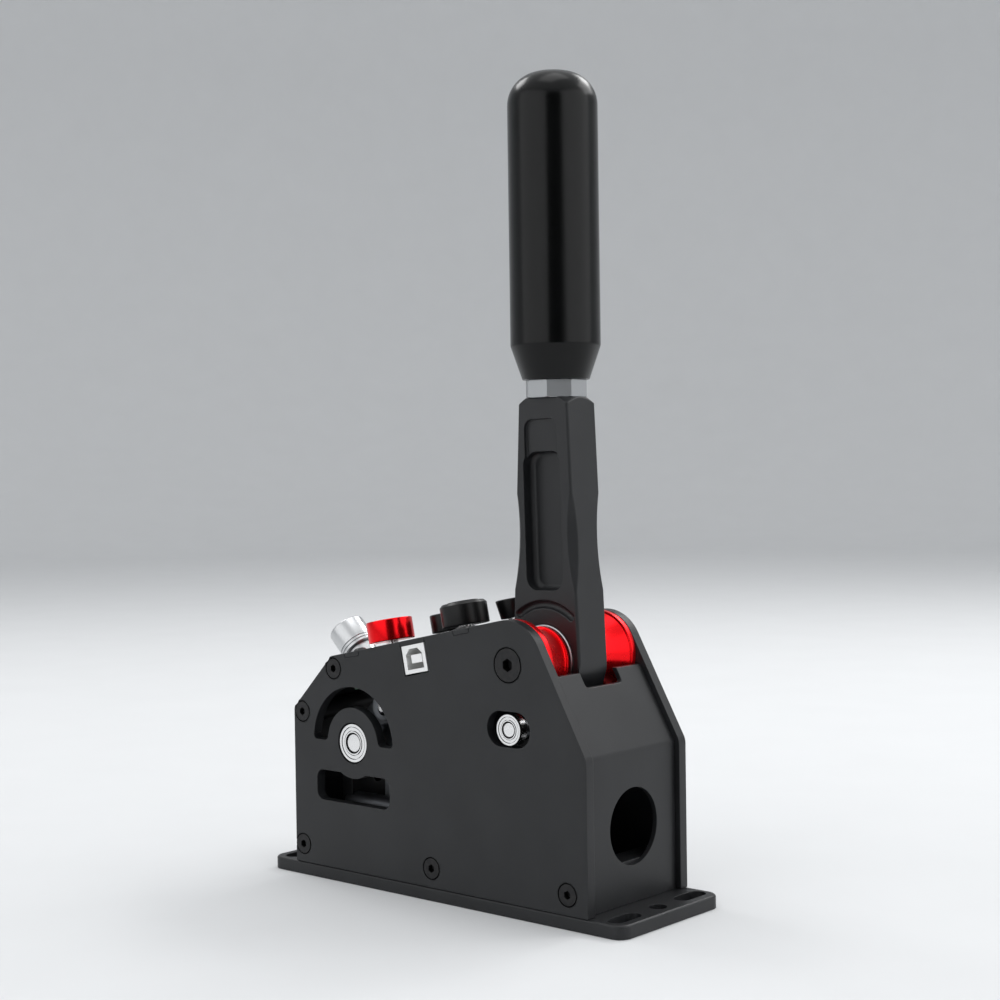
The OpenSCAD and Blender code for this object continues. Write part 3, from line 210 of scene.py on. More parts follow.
# %% Blasted and anodised aluminium
OXIDE_LEVEL = 0.4
DYE_CLOUD_MM = 18
GRAIN_MM, GRAIN_DEPTH_MM = 0.25, 0.012


def blasted_anodising(name, dark, light, rough):
    """Aluminium with a dyed oxide whose colour lies between dark and light."""
    material, tree, shader, place = start(name, Metallic=0.0, Specular_IOR_Level=OXIDE_LEVEL)
    cloud = noise(tree, place, DYE_CLOUD_MM, 4.0)
    toned(tree, shader, cloud, dark, light, 0.35, 0.7)
    glossed(tree, shader, cloud, rough - 0.03, rough + 0.04)
    bumped(tree, shader, noise(tree, place, GRAIN_MM, 2.0), 0.35, GRAIN_DEPTH_MM)
    return material


anodised_black = blasted_anodising("blasted_black_anodising", "#17181a", "#1e1f21", 0.42)
anodised_dark = blasted_anodising("dark_anodising", "#131415", "#191a1c", 0.46)
print("anodised finishes:", anodised_black.name, anodised_dark.name)

# %% [markdown]
# Black oxide on screws
#
# The screws are alloy steel, turned and cold-formed, then blackened in a hot salt bath. The black layer
# is a few microns of oxide over metal, so it keeps a faint metal gloss and a brown-blue cast, and its
# skin is a little rough. Black-oxide finishes are part metal and part oxide, which is written as a
# half-metallic shader with a dark colour.

# %% Black-oxide steel
STAIN_MM = 1.6
SKIN_MM, SKIN_DEPTH_MM = 0.3, 0.01

oxide_steel, tree, shader, place = start("black_oxide_steel", Metallic=0.55, Roughness=0.36)
toned(tree, shader, noise(tree, place, STAIN_MM, 5.0), "#1c1c1e", "#2b2a2a", 0.3, 0.75)
bumped(tree, shader, noise(tree, place, SKIN_MM), 0.3, SKIN_DEPTH_MM)
print("screw finish:", oxide_steel.name)

# %% [markdown]
# Turned and brushed metals
#
# A turned face carries rings about its axis, one for each pass of the tool, and a ground or brushed one
# carries scratches along one direction. Both are the same idea: a noise that varies quickly in one
# direction and hardly at all in the other. For rings, the distance from the axis and the height along it
# are fed to the noise; for scratches, the place is squeezed along X before the noise reads it. The metals
# keep the default index of refraction, because a metal's colour comes from its base colour.

# %% Metals with a lay
SCRATCH_SQUEEZE = 0.04
WEAR_MM = 6


def rings(tree, place, axis, centre):
    """Coordinates that are equal all round an axis: the distance from it and the height along it."""
    tilt = Vector(axis).rotation_difference(Vector((0, 0, 1))).to_euler()
    shift = tuple(-(tilt.to_matrix() @ Vector(centre)))
    stood_up = add(tree, "ShaderNodeMapping", {"Rotation": tilt, "Location": shift}, {"Vector": place})
    part = add(tree, "ShaderNodeSeparateXYZ", links={"Vector": stood_up.outputs["Vector"]})
    flat = add(tree, "ShaderNodeCombineXYZ", links={"X": part.outputs["X"], "Y": part.outputs["Y"]})
    reach = add(tree, "ShaderNodeVectorMath", {"operation": "LENGTH"}, {0: flat.outputs[0]})
    lay = add(tree, "ShaderNodeCombineXYZ", links={"X": reach.outputs["Value"], "Z": part.outputs["Z"]})
    return lay.outputs[0]


def scratches(tree, place):
    """Coordinates that hardly change along X."""
    lay = add(tree, "ShaderNodeMapping", {"Scale": (SCRATCH_SQUEEZE, 1.0, 1.0)}, {"Vector": place})
    return lay.outputs["Vector"]


def machined(name, colour, rough, pitch_mm, axis=None, centre=None, metallic=1.0, depth_mm=0.006):
    """Metal with tool marks: rings about an axis through centre, or scratches along X with no axis."""
    material, tree, shader, place = start(name, Metallic=metallic, Base_Color=linear(colour))
    lay = scratches(tree, place) if axis is None else rings(tree, place, axis, centre)
    bumped(tree, shader, noise(tree, lay, pitch_mm), 0.4, depth_mm)
    glossed(tree, shader, noise(tree, place, WEAR_MM), rough - 0.05, rough + 0.08)
    return material


bright_steel = machined("ground_steel", "#ececec", 0.24, 0.5)
grey_steel = machined("zinc_plated_steel", "#8d9094", 0.38, 0.6)
spring_steel = machined("spring_wire", "#7f8286", 0.33, 0.4)
bush_bronze = machined("bearing_bronze", "#b08a48", 0.35, 0.4)
# The guide rods sit in the shade inside the housing, so their steel is painted a darker grey than bright
# steel.
shade_darkened_rod_steel = machined("shade_darkened_rod", "#66686c", 0.45, 0.5)
nickel = machined("nickel_plate", "#f2f2f1", 0.34, 0.6, metallic=0.75)
ring_steel = machined("pressed_ring_steel", "#b4b6b8", 0.3, 0.5)
# Flat black that paints the shade inside deep gaps and holes, which are drawn too shallow to go dark.
painted_gap_shade = start("shadow_gap", Roughness=0.9, Specular_IOR_Level=0.1, Base_Color=linear("#030303"))[0]
metals = (bright_steel, grey_steel, spring_steel, bush_bronze, shade_darkened_rod_steel, nickel, ring_steel)
print("metals:", *(metal.name for metal in metals))

# %% [markdown]
# Where turned pieces have their axes
#
# A finish with rings needs the axis of its piece, and so does every lathe-turned shape made further on.
# The frame knows them without any numbers being repeated here: a solid of revolution is found among the
# loose solids of its node, and measured along and across a known direction. Halfway between its extreme
# points across that direction lies the axis, and its extreme points along it give the two ends. The
# directions come from the joints, or from the row axes where a piece stands square.

# %% Solids of a node
SAME_POINT_MM = 0.001


def solids(node):
    """Loose solids of a CAD node as arrays of points: points joined by an edge share one label."""
    work = bmesh.new()
    work.from_mesh(frame["nodes"][node].data)
    bmesh.ops.remove_doubles(work, verts=work.verts, dist=SAME_POINT_MM * MM)
    work.verts.index_update()
    points = np.array([v.co[:] for v in work.verts])
    ends = np.array([[v.index for v in e.verts] for e in work.edges])
    work.free()
    label = np.arange(len(points))
    while True:
        low = np.minimum(label[ends[:, 0]], label[ends[:, 1]])
        before = label.copy()
        np.minimum.at(label, ends[:, 0], low)
        np.minimum.at(label, ends[:, 1], low)
        label = label[label]
        if np.array_equal(before, label):
            return [points[label == k] for k in np.unique(label)]


print("side screws:", len(solids("side_screws")))

# %% [markdown]
# Measuring a turned piece
#
# Two directions square to the axis are needed, to measure across it and later to carry a profile round
# it. They are cross products: the axis with a guide direction, and the axis with the result. Where the
# axis runs along the guide itself, that product would vanish, so X is the guide instead.

# %% Axes of turned pieces
ALIGNED = 0.9


def square_to(axis, guide=(0, 1, 0)):
    """Two unit directions square to a unit axis and to each other."""
    side = np.cross(axis, guide if abs(np.dot(axis, guide)) < ALIGNED else (1, 0, 0))
    side /= np.linalg.norm(side)
    return side, np.cross(axis, side)


def along(node, axis):
    """(low end in metres, unit axis, length, radius in mm) of each solid of a node turned about axis."""
    axis = np.array(axis, float) / np.linalg.norm(axis)
    base = np.array([*square_to(axis), axis])
    found = []
    for points in solids(node):
        spread = points @ base.T
        low, high = spread.min(0), spread.max(0)
        middle = (low + high) / 2
        middle[2] = low[2]
        found.append((middle @ base, axis, (high[2] - low[2]) / MM, (high[0] - low[0]) / 2 / MM))
    return found


joint_axis = {joint["name"]: np.array(joint["axis"], float) for joint in frame["joints"]}
UP_COVER = -joint_axis["red_knob_turn"]
UP_FACET = joint_axis["silver_knob_pull"]
ACROSS = np.array([0.0, 1.0, 0.0])
UP = np.array([0.0, 0.0, 1.0])
pivot_end = along("pivot_shaft", ACROSS)[0][0]
red_foot = along("red_knob", UP_COVER)[0][0]
silver_foot = along("silver_knob", UP_FACET)[0][0]
print("pivot at", pivot_end.round(4), "red knob at", red_foot.round(4), "silver at", silver_foot.round(4))

# %% [markdown]
# Red anodising and brushed silver
#
# The hubs beside the lever and the friction knob are turned aluminium, dyed red and left bright. The dye
# sits in a clear oxide layer over the metal, so the colour deepens where the metal mirrors something
# dark, and rings from the lathe stretch each highlight. The silver pull knob is the same metal without
# dye, turned a little coarser.

# %% Dyed and clear anodised metal
red_hub = machined("red_anodised_hub", "#fb0d18", 0.26, 0.35, ACROSS, pivot_end, metallic=0.85)
red_knob_metal = machined("red_anodised_knob", "#f01019", 0.2, 0.35, UP_COVER, red_foot, metallic=0.9)
silver_metal = machined("turned_aluminium", "#c6c7c8", 0.3, 0.3, UP_FACET, silver_foot, depth_mm=0.01)
print("turned finishes:", red_hub.name, red_knob_metal.name, silver_metal.name)

# %% [markdown]
# Black plastic and the grip
#
# The knobs are moulded glass-filled nylon: a little glossier than the plates, with the faint orange-peel
# of a spark-eroded mould. The grip is turned and anodised, then lightly polished, so it shows long soft
# bands of light down its sides and a dark one between them, where it mirrors the flag behind the camera.
# Both stay dielectric, because a sealed oxide mirrors like glass and not like metal.

# %% Knob plastic, grip and small inner parts
TOUCH_MM = 12


def moulded(name, colour, rough, peel_mm=0.5, depth_mm=0.01, level=0.5):
    """Plastic, or a sealed coat, with an orange-peel of depth_mm."""
    material, tree, shader, place = start(name, Specular_IOR_Level=level, Base_Color=linear(colour))
    bumped(tree, shader, noise(tree, place, peel_mm), 0.35, depth_mm)
    glossed(tree, shader, noise(tree, place, TOUCH_MM, 4.0), rough - 0.04, rough + 0.05)
    return material


grip_black = moulded("sealed_black_grip", "#060707", 0.22, 0.3, 0.0015, level=0.23)
knob_black = moulded("glass_filled_nylon", "#080809", 0.34, level=0.3)
tongue_white = moulded("white_insulator", "#f6f6f6", 0.45)
board_green = moulded("solder_mask", "#17402b", 0.3)
encoder_grey = moulded("encoder_case", "#6d7073", 0.45)
friction_brown = moulded("pressed_fibre", "#4a3a2a", 0.7, 0.25, 0.03)
print("materials so far:", len(bpy.data.materials))

# %% [markdown]
# A finish for every slot
#
# The construction record gives each node a material slot and a body. The slot says what the node is made
# of, so one table turns slots into the finishes above, and every node gets its own before any is
# replaced. The body says what the node moves with, and is kept for the pieces that take its place.

# %% Finishes on the nodes
SLOT_FINISH = {
    "anodised_black": anodised_black, "anodised_dark": anodised_dark, "oxide_steel": oxide_steel,
    "bright_steel": bright_steel, "grey_steel": grey_steel, "spring_steel": spring_steel,
    "red_anodised": red_hub, "silver_aluminium": silver_metal, "grip_black": grip_black,
    "knob_black": knob_black, "bronze": bush_bronze, "board_green": board_green,
    "tongue_white": tongue_white, "encoder_grey": encoder_grey, "friction_brown": friction_brown,
}
bodies = frame["record"]["behaviour"]["bodies"]
body_of_node = {node: body for body, nodes in bodies.items() for node in nodes}
slot_of_node = {part["node"]: part["material_slot"] for part in frame["record"]["subparts"]}
for node, thing in frame["nodes"].items():
    thing.data.materials.clear()
    thing.data.materials.append(SLOT_FINISH[slot_of_node[node]])
print("finishes on", len(slot_of_node), "nodes")

# %% [markdown]
# Setting a new piece in its place
#
# Every new mesh is used the same way: it becomes an object at the origin, gets its finish, rides on the
# body of the node that it stands for, and hides that node. Faces are smooth except where two of them
# meet at more than a chosen angle.

# %% Placing a piece
CREASE = 32.0


def place_piece(name, mesh, node, finish=None, crease=CREASE, rides=True):
    """Makes the object for a mesh, for a CAD node's material slot and, where it rides, for its body."""
    mesh.materials.clear()
    mesh.materials.append(finish or SLOT_FINISH[slot_of_node[node]])
    mesh.polygons.foreach_set("use_smooth", np.ones(len(mesh.polygons), bool))
    mesh.set_sharp_from_angle(angle=math.radians(crease))
    piece = bpy.data.objects.new(name, mesh)
    bpy.context.scene.collection.objects.link(piece)
    if rides:
        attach(piece, body_of_node[node])
    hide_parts(node)
    return piece


# %% [markdown]
# Broken edges
#
# No milled or bent part leaves the shop with a sharp edge: each one is broken by 0.15 to 0.35 mm, and
# that narrow face is what draws a bright line round the part. The shape itself is right in the frame, so
# a copy of it is taken, its split corners are merged, and the triangles of each flat face are joined.
# Every edge that is sharper than a set angle then gets a bevel weight. One screw hole lies so near the
# rear rim of each side plate that there is no room for two cuts, so those edges get none and stay sharp.

# %% Edges that are to be broken
WELD_MM = 0.004
FLAT_DEGREES, SHARP_DEGREES = 0.4, 30.0
CROWDED = ("right_side_plate", "left_side_plate")
HOLE_X, HOLE_Z, HOLE_REACH, RIM_X = -70.8, 12.3, 4.6, -74.4


def weighted_copy(node):
    """Copy of a CAD node with its flat faces joined and a weight of 1 on each edge to be broken."""
    work = bmesh.new()
    work.from_mesh(frame["nodes"][node].data)
    bmesh.ops.remove_doubles(work, verts=work.verts, dist=WELD_MM * MM)
    bmesh.ops.dissolve_degenerate(work, edges=work.edges, dist=WELD_MM * MM)
    bmesh.ops.dissolve_limit(work, angle_limit=math.radians(FLAT_DEGREES), verts=work.verts,
                             edges=work.edges, use_dissolve_boundaries=False)
    weight = work.edges.layers.float.new("bevel_weight_edge")
    for edge in work.edges:
        x, _, z = np.array([v.co for v in edge.verts]).T / MM
        crowded = (np.hypot(x - HOLE_X, z - HOLE_Z) < HOLE_REACH) | (x < RIM_X)
        spared = node in CROWDED and crowded.all()
        edge[weight] = float(edge.calc_face_angle(0) > math.radians(SHARP_DEGREES) and not spared)
    mesh = bpy.data.meshes.new(node + "_finished")
    work.to_mesh(mesh)
    work.free()
    return mesh


# %% [markdown]
# Cutting them
#
# A Bevel modifier cuts the weighted edges, and its result is kept as the piece's mesh. Where edges crowd
# round a hole, the cut can throw a point off the part. Such a point is put back on the part's own
# surface, and no point may leave the box that the part has in the frame. Normals weighted by area keep
# the large faces flat up to the edge, so that only the narrow cut turns the light.

# %% Broken edges on machined and bent parts
STRAY_MM = 0.12
FAR_CUTS = 1.2


def put_back(shape, node, width_mm):
    """Puts points that the cut threw off a node's part back on its surface, inside its box."""
    cad = frame["nodes"][node].data
    skin = BVHTree.FromPolygons([v.co for v in cad.vertices], [face.vertices for face in cad.polygons])
    points = np.array([v.co for v in cad.vertices])
    low, high = points.min(0), points.max(0)
    for vertex in shape.vertices:
        near, normal, _, away = skin.find_nearest(vertex.co)
        if away > FAR_CUTS * width_mm * MM or (vertex.co - near).dot(normal) > STRAY_MM * MM:
            vertex.co = near
        vertex.co = np.clip(vertex.co, low, high)


def broken_edges(node, width_mm, finish=None):
    """The finished piece for a CAD node, with its sharp edges cut to width_mm."""
    piece = place_piece(node + "_finished", weighted_copy(node), node, finish)
    cut = piece.modifiers.new("broken_edge", "BEVEL")
    cut.width = width_mm * MM
    cut.segments = 2
    cut.limit_method = "WEIGHT"
    cut.use_clamp_overlap = False
    cut.miter_outer = "MITER_ARC"
    graph = bpy.context.evaluated_depsgraph_get()
    shape = bpy.data.meshes.new_from_object(piece.evaluated_get(graph))
    piece.modifiers.clear()
    piece.data = shape
    put_back(shape, node, width_mm)
    shape.set_sharp_from_angle(angle=math.radians(CREASE))
    flats = piece.modifiers.new("even_flats", "WEIGHTED_NORMAL")
    flats.mode = "FACE_AREA"
    flats.weight = 100
    flats.keep_sharp = True
    return piece


EDGE_MM = {
    "right_side_plate": 0.3, "left_side_plate": 0.3, "top_cover": 0.25, "front_panel": 0.25,
    "rear_panel": 0.25, "base_plate": 0.25, "lever_arm": 0.35, "front_block": 0.3, "middle_block": 0.3,
    "rear_block": 0.3, "rear_post": 0.3, "rocker": 0.3, "link_bars": 0.3, "usb_socket": 0.2,
    "usb_tongue": 0.15, "spring_collars": 0.3,
}
for node, width in EDGE_MM.items():
    piece = broken_edges(node, width, finish=nickel if node == "usb_socket" else None)
    print(node, "faces with its edges cut:", len(piece.data.polygons))

# %% [markdown]
# Surfaces made of rings
#
# Every turned piece, and the paper of the studio too, is a profile carried once round an axis. The points
# form a grid of angles and profile points, and each cell of that grid is one quad. A profile that starts
# or ends on the axis gives a ring of radius zero there. Its points are merged into one afterwards, and
# all faces are turned outwards.

# %% Surfaces on a grid
MERGE_MM, SLIVER_MM = 0.0005, 0.0002
TURNS, FINE_TURNS = 96, 128


def grid_mesh(name, points, close_u=False, close_v=False):
    """Mesh of a surface given as an array of points (u, v, 3): each cell of the grid is one quad."""
    rows, columns = points.shape[:2]
    index = np.arange(rows * columns).reshape(rows, columns)
    if close_u:
        index = np.vstack([index, index[:1]])
    if close_v:
        index = np.hstack([index, index[:, :1]])
    quads = np.stack([index[:-1, :-1], index[:-1, 1:], index[1:, 1:], index[1:, :-1]], -1).reshape(-1, 4)
    mesh = bpy.data.meshes.new(name)
    mesh.from_pydata(points.reshape(-1, 3).tolist(), [], quads.tolist())
    return mesh


def closed_up(mesh):
    """Merges the points that meet at a pole and turns all faces outwards."""
    work = bmesh.new()
    work.from_mesh(mesh)
    bmesh.ops.remove_doubles(work, verts=work.verts, dist=MERGE_MM * MM)
    bmesh.ops.dissolve_degenerate(work, edges=work.edges, dist=SLIVER_MM * MM)
    bmesh.ops.recalc_face_normals(work, faces=work.faces)
    work.to_mesh(mesh)
    work.free()
    return mesh


def carried_round(name, profile, foot, axis, turns=TURNS):
    """A profile of (radius, height) carried round an axis that starts at foot; sizes in millimetres."""
    axis = np.array(axis, float) / np.linalg.norm(axis)
    side, other = square_to(axis)
    angle = np.linspace(0, 2 * np.pi, turns, endpoint=False)[:, None, None]
    radius, height = np.array(profile, float).T[:, None, :, None] * MM
    points = np.array(foot) + height * axis + radius * (np.cos(angle) * side + np.sin(angle) * other)
    return closed_up(grid_mesh(name, points, close_u=True))


# %% [markdown]
# The sweep of paper
#
# A pale floor runs into a pale wall with no corner, as a paper sweep does, so that nothing but light and
# dark falls on the object. It is a profile carried once round the object: flat, a quarter of a circle,
# then straight up, with its faces turned inwards, to the object. It lies a tenth of a millimetre below
# the base, so that the two never share a plane.

# %% Sweep of paper
FLOOR_R, SWEEP_R, WALL_H = 2600, 1200, 3200
PAPER_Z = -0.0001
FIBRE_MM = 60

bend = np.linspace(0, np.pi / 2, 24)
sweep = [(0, 0), *zip(FLOOR_R + SWEEP_R * np.sin(bend), SWEEP_R * (1 - np.cos(bend))),
         (FLOOR_R + SWEEP_R, WALL_H)]
paper, tree, shader, place = start("pale_paper", Roughness=0.85, Specular_IOR_Level=0.1)
fibre = noise(tree, place, FIBRE_MM)
tint = add(tree, "ShaderNodeMix", {"data_type": "RGBA", 6: linear("#d6d7d8"), 7: linear("#dadbdc")},
           {0: fibre.outputs["Fac"]})
tree.links.new(tint.outputs[2], shader.inputs["Base Color"])
floor_mesh = carried_round("paper_sweep", sweep, PAPER_Z * UP, UP, FINE_TURNS)
floor_mesh.flip_normals()
floor_mesh.materials.append(paper)
floor_mesh.polygons.foreach_set("use_smooth", np.ones(len(floor_mesh.polygons), bool))
floor = bpy.data.objects.new("paper_sweep", floor_mesh)
bpy.context.scene.collection.objects.link(floor)
print("studio: floor radius", FLOOR_R, "mm, wall", WALL_H, "mm high")

# %% [markdown]
# The lamps
#
# A black object shows the studio more than itself, so each thing that it mirrors is put there for a face
# of it. A wide soft box on the left serves the side plate, and one on the right serves the front of the
# lever. Three stand high on the far side, for the sloping panel and for the upper edges, and one hangs
# over the grip. The table gives each its azimuth, elevation and distance, its width and height in metres,
# and the level of light that its mirror image is to have. That takes level * pi * area watts.

# %% Lamps
MIDDLE = Vector((0.02, 0, 0.13))
SOFT_BOXES = {
    "left_soft_box": (-104, 20, 1.5, (2.2, 1.1), 0.9),
    "right_soft_box": (14, 20, 1.5, (2.2, 1.1), 1.05),
    "panel_soft_box": (66, 40, 1.5, (1.0, 0.6), 2.8),
    "left_edge_box": (178, 46, 1.5, (0.6, 0.4), 6.0),
    "right_edge_box": (94, 42, 1.5, (0.5, 0.35), 6.0),
    "top_soft_box": (0, 88, 1.3, (0.9, 0.6), 1.6),
}


def polar(azimuth, elevation, away):
    """Place at an azimuth and elevation in degrees, away metres from the middle of the object."""
    a, e = math.radians(azimuth), math.radians(elevation)
    return MIDDLE + away * Vector((math.cos(a) * math.cos(e), math.sin(a) * math.cos(e), math.sin(e)))


def soft_box(name, place, size_m, level):
    """An area lamp that faces the middle of the object; its face has that level of light."""
    lamp = bpy.data.lights.new(name, "AREA")
    lamp.shape = "RECTANGLE"
    lamp.size, lamp.size_y = size_m
    lamp.energy = level * math.pi * size_m[0] * size_m[1]
    thing = bpy.data.objects.new(name, lamp)
    thing.location = place
    thing.rotation_euler = (MIDDLE - place).to_track_quat("-Z", "Y").to_euler()
    bpy.context.scene.collection.objects.link(thing)


for name, (azimuth, elevation, away, size_m, level) in SOFT_BOXES.items():
    soft_box(name, polar(azimuth, elevation, away), size_m, level)
print("soft boxes:", len(SOFT_BOXES))

# %% [markdown]
# The air and the flag
#
# The world is a pale, even light that fills the shadows. Behind the camera, between the two wide boxes,
# stands a flag of black felt: it makes the dark band down the grip. Only mirroring rays may find it, so
# that it neither shades the floor nor stands in any other view.

# %% World and flag
AIR_STRENGTH = 0.9
FLAG_AZIMUTHS, FLAG_AWAY, FLAG_FOOT, FLAG_TOP = (-66, -29), 1.25, 0.01, 0.9

world = bpy.data.worlds.new("studio_air")
bpy.context.scene.world = world
world.use_nodes = True
air = world.node_tree.nodes["Background"].inputs
air["Color"].default_value = linear("#f2f4f6")
air["Strength"].default_value = AIR_STRENGTH
bpy.context.scene.view_settings.view_transform = "Standard"

ends = [tuple(polar(azimuth, 0, FLAG_AWAY).xy) for azimuth in FLAG_AZIMUTHS]
corners = [(*end, FLAG_FOOT) for end in ends] + [(*end, FLAG_TOP) for end in ends[::-1]]
flag_mesh = bpy.data.meshes.new("black_flag")
flag_mesh.from_pydata(corners, [], [(0, 1, 2, 3)])
felt = start("black_felt", Roughness=1.0, Specular_IOR_Level=0.0, Base_Color=linear("#0a0a0a"))[0]
flag_mesh.materials.append(felt)
flag = bpy.data.objects.new("black_flag", flag_mesh)
flag.visible_camera = flag.visible_diffuse = flag.visible_shadow = False
bpy.context.scene.collection.objects.link(flag)
print("flag from", *ends, "to a height of", FLAG_TOP, "m")

# %% [markdown]
# Rounded profiles
#
# A turned piece is its profile, and a profile is a few corners with the radius that the tool leaves at
# each. The function below puts an arc in place of each corner: it goes back along both sides by
# r / tan(half the angle between them) and sweeps a circle between the two points.

# %% Corners to arcs
def rounded(corners, steps=6):
    """(radius, height, rounding) corners as a list of points with arcs; a rounding of 0 stays a corner."""
    corners = [np.array(c, float) for c in corners]
    line = []
    for i, corner in enumerate(corners):
        here, r = corner[:2], corner[2]
        if r == 0 or i in (0, len(corners) - 1):
            line.append(here)
            continue
        back, on = corners[i - 1][:2] - here, corners[i + 1][:2] - here
        back, on = back / np.linalg.norm(back), on / np.linalg.norm(on)
        half = np.arccos(np.clip(back @ on, -1, 1)) / 2
        middle = here + (back + on) / np.linalg.norm(back + on) * r / np.sin(half)
        first, last = here + back * r / np.tan(half) - middle, here + on * r / np.tan(half) - middle
        swept = np.pi - 2 * half
        for t in np.linspace(0, 1, steps + 1):
            turned_by = (first * np.sin((1 - t) * swept) + last * np.sin(t * swept)) / np.sin(swept)
            line.append(middle + turned_by)
    return np.array(line)


# %% [markdown]
# The grip
#
# The grip is one turned bar: a short cone above the lock nut, a long cylinder, and a large round at the
# top that ends in a small flat. Its length and radius are read from the frame, and only the forms
# between them are named here.

# %% Grip
GRIP_FOOT_R, GRIP_CONE_H = 12.45, 12.7
FOOT_ROUND, CONE_ROUND, TOP_ROUND = 0.5, 3.0, 12.2

grip_foot, _, grip_length, grip_radius = along("grip", UP)[0]
grip_profile = rounded([(0, 0, 0), (GRIP_FOOT_R, 0, FOOT_ROUND), (grip_radius, GRIP_CONE_H, CONE_ROUND),
                        (grip_radius, grip_length, TOP_ROUND), (0, grip_length, 0)], 14)
grip_mesh = carried_round("grip_turned", grip_profile, grip_foot, UP, 160)
place_piece("grip_turned", grip_mesh, "grip")
print("grip radius", round(grip_radius, 2), "length", round(grip_length, 2), "points", len(grip_profile))

# %% [markdown]
# The lock nut
#
# The nut under the grip is turned from eight-sided bar, with a flat towards the front. Only its corners
# are broken, so its ends look straight. At an angle and a height its radius is the smaller of two things:
# the distance to the flat, which is half the width across flats over the cosine of the angle from the
# middle of that flat, and the radius to which the corners are turned at that height.

# %% Lock nut
NUT_BORE, NUT_SIDES = 6.1, 8
NUT_BREAK, NUT_TURN, NUT_FACE = 0.4, 0.35, 0.1


def bar_reach(angle, half_flat, sides):
    """Distance from the axis to the flats of a bar with that many sides, one of them at angle 0."""
    from_flat = (angle + np.pi / sides) % (2 * np.pi / sides) - np.pi / sides
    return half_flat / np.cos(from_flat)


def nut_mesh(name, foot, half_flat, height):
    """Upright bar with flats, its corners turned off at both ends, and a bore; sizes in millimetres."""
    side, other = np.array([1.0, 0.0, 0.0]), ACROSS
    angle = np.linspace(0, 2 * np.pi, 24 * NUT_SIDES, endpoint=False)[:, None]
    end = np.array([NUT_BREAK, 0, 0, NUT_BREAK / 2, NUT_BREAK])
    rise = np.concatenate([end, height - end[::-1]])
    corner = half_flat / math.cos(math.pi / NUT_SIDES)
    turned_off = corner - NUT_TURN + np.clip(np.minimum(rise, height - rise), 0, NUT_BREAK)
    radius = np.minimum(bar_reach(angle, half_flat, NUT_SIDES), turned_off)
    radius[:, [0, -1]] = NUT_BORE
    radius[:, [1, -2]] = NUT_BORE + NUT_BREAK
    radius[:, [2, -3]] -= NUT_FACE
    around = np.cos(angle)[..., None] * side + np.sin(angle)[..., None] * other
    points = foot + (rise[None, :, None] * UP + radius[..., None] * around) * MM
    return closed_up(grid_mesh(name, points, close_u=True, close_v=True))


nut_foot, _, nut_height, nut_half = along("lock_nut", UP)[0]
nut_steel = machined("bright_nut_steel", "#a2a4a6", 0.38, 0.4, UP, nut_foot)
nut = nut_mesh("lock_nut_turned", nut_foot, nut_half, nut_height)
place_piece("lock_nut_turned", nut, "lock_nut", nut_steel, 20)
print("lock nut across flats", round(2 * nut_half, 2))

# %% [markdown]
# Pieces that lie across the housing
#
# The pivot's hubs and bearings, the rear bearings and the guide rollers come in pairs, one on each side,
# and each pair is one node. A piece of a pair is described from its inner end outwards, so the direction
# is +Y on the left side and -Y on the right. The meshes of a node are then joined into one object.

# %% Joined meshes and outward places
def joined(name, meshes):
    """One mesh made of several, which are removed."""
    work = bmesh.new()
    for mesh in meshes:
        work.from_mesh(mesh)
        bpy.data.meshes.remove(mesh)
    mesh = bpy.data.meshes.new(name)
    work.to_mesh(mesh)
    work.free()
    return mesh


def outward(node):
    """As along, but from the inner end of each solid and in its outward direction."""
    places = []
    for foot, _, length, radius in along(node, ACROSS):
        side = math.copysign(1, foot[1] + length * MM / 2)
        places.append((foot if side > 0 else foot + length * MM * ACROSS, side * ACROSS, length, radius))
    return places


def turned(node, places, profile, finish=None, crease=CREASE, turns=TURNS):
    """One object for a node: the profile for each place's length and radius, carried round there."""
    meshes = [carried_round(node, profile(length, radius), foot, axis, turns)
              for foot, axis, length, radius in places]
    return place_piece(node + "_turned", joined(node + "_turned", meshes), node, finish, crease)


# %% [markdown]
# The red hubs
#
# Each hub is turned from bar and dyed red. A wide rim stands against the side plate, a hollow cone runs
# down from it, and a small lip ends beside the lever, where a short boss bears on the inner race. The
# cone is curved. It runs along the shaft at the lip and spreads at the rim, because its radius grows with
# the height to the power of 1.7.

# %% Hubs
HUB_BORE, HUB_BOSS_R, HUB_BOSS_H = 5.05, 6.9, 0.65
HUB_LIP_R, HUB_LIP_H = 12.5, 1.1
HUB_CONE_POWER, HUB_CONE_LOW, HUB_RIM_H = 1.7, 2.15, 2.8


def hub_profile(length, radius):
    lip_top = HUB_BOSS_H + HUB_LIP_H
    inner = rounded([(HUB_BORE, length, 0), (HUB_BORE, 0, 0.2), (HUB_BOSS_R, 0, 0.2),
                     (HUB_BOSS_R, HUB_BOSS_H, 0), (HUB_LIP_R, HUB_BOSS_H, 0.3),
                     (HUB_LIP_R, lip_top, 0.25), (HUB_LIP_R - 0.6, lip_top + 0.2, 0)], 4)
    u = np.linspace(0, 1, 32)
    hollow = np.stack([HUB_LIP_R - 0.7 + (radius - HUB_LIP_R - 0.1) * u ** HUB_CONE_POWER,
                       HUB_CONE_LOW + (length - HUB_CONE_LOW - HUB_RIM_H) * u], 1)
    rim = rounded([(radius - 0.8, length - HUB_RIM_H + 0.1, 0), (radius, length - HUB_RIM_H + 0.4, 0.25),
                   (radius, length, 0.35), (HUB_BORE, length, 0)], 4)
    return np.concatenate([inner, hollow, rim])


hubs = turned("lever_hubs", outward("lever_hubs"), hub_profile, red_hub, 30, FINE_TURNS)
print("hubs: faces", len(hubs.data.polygons))
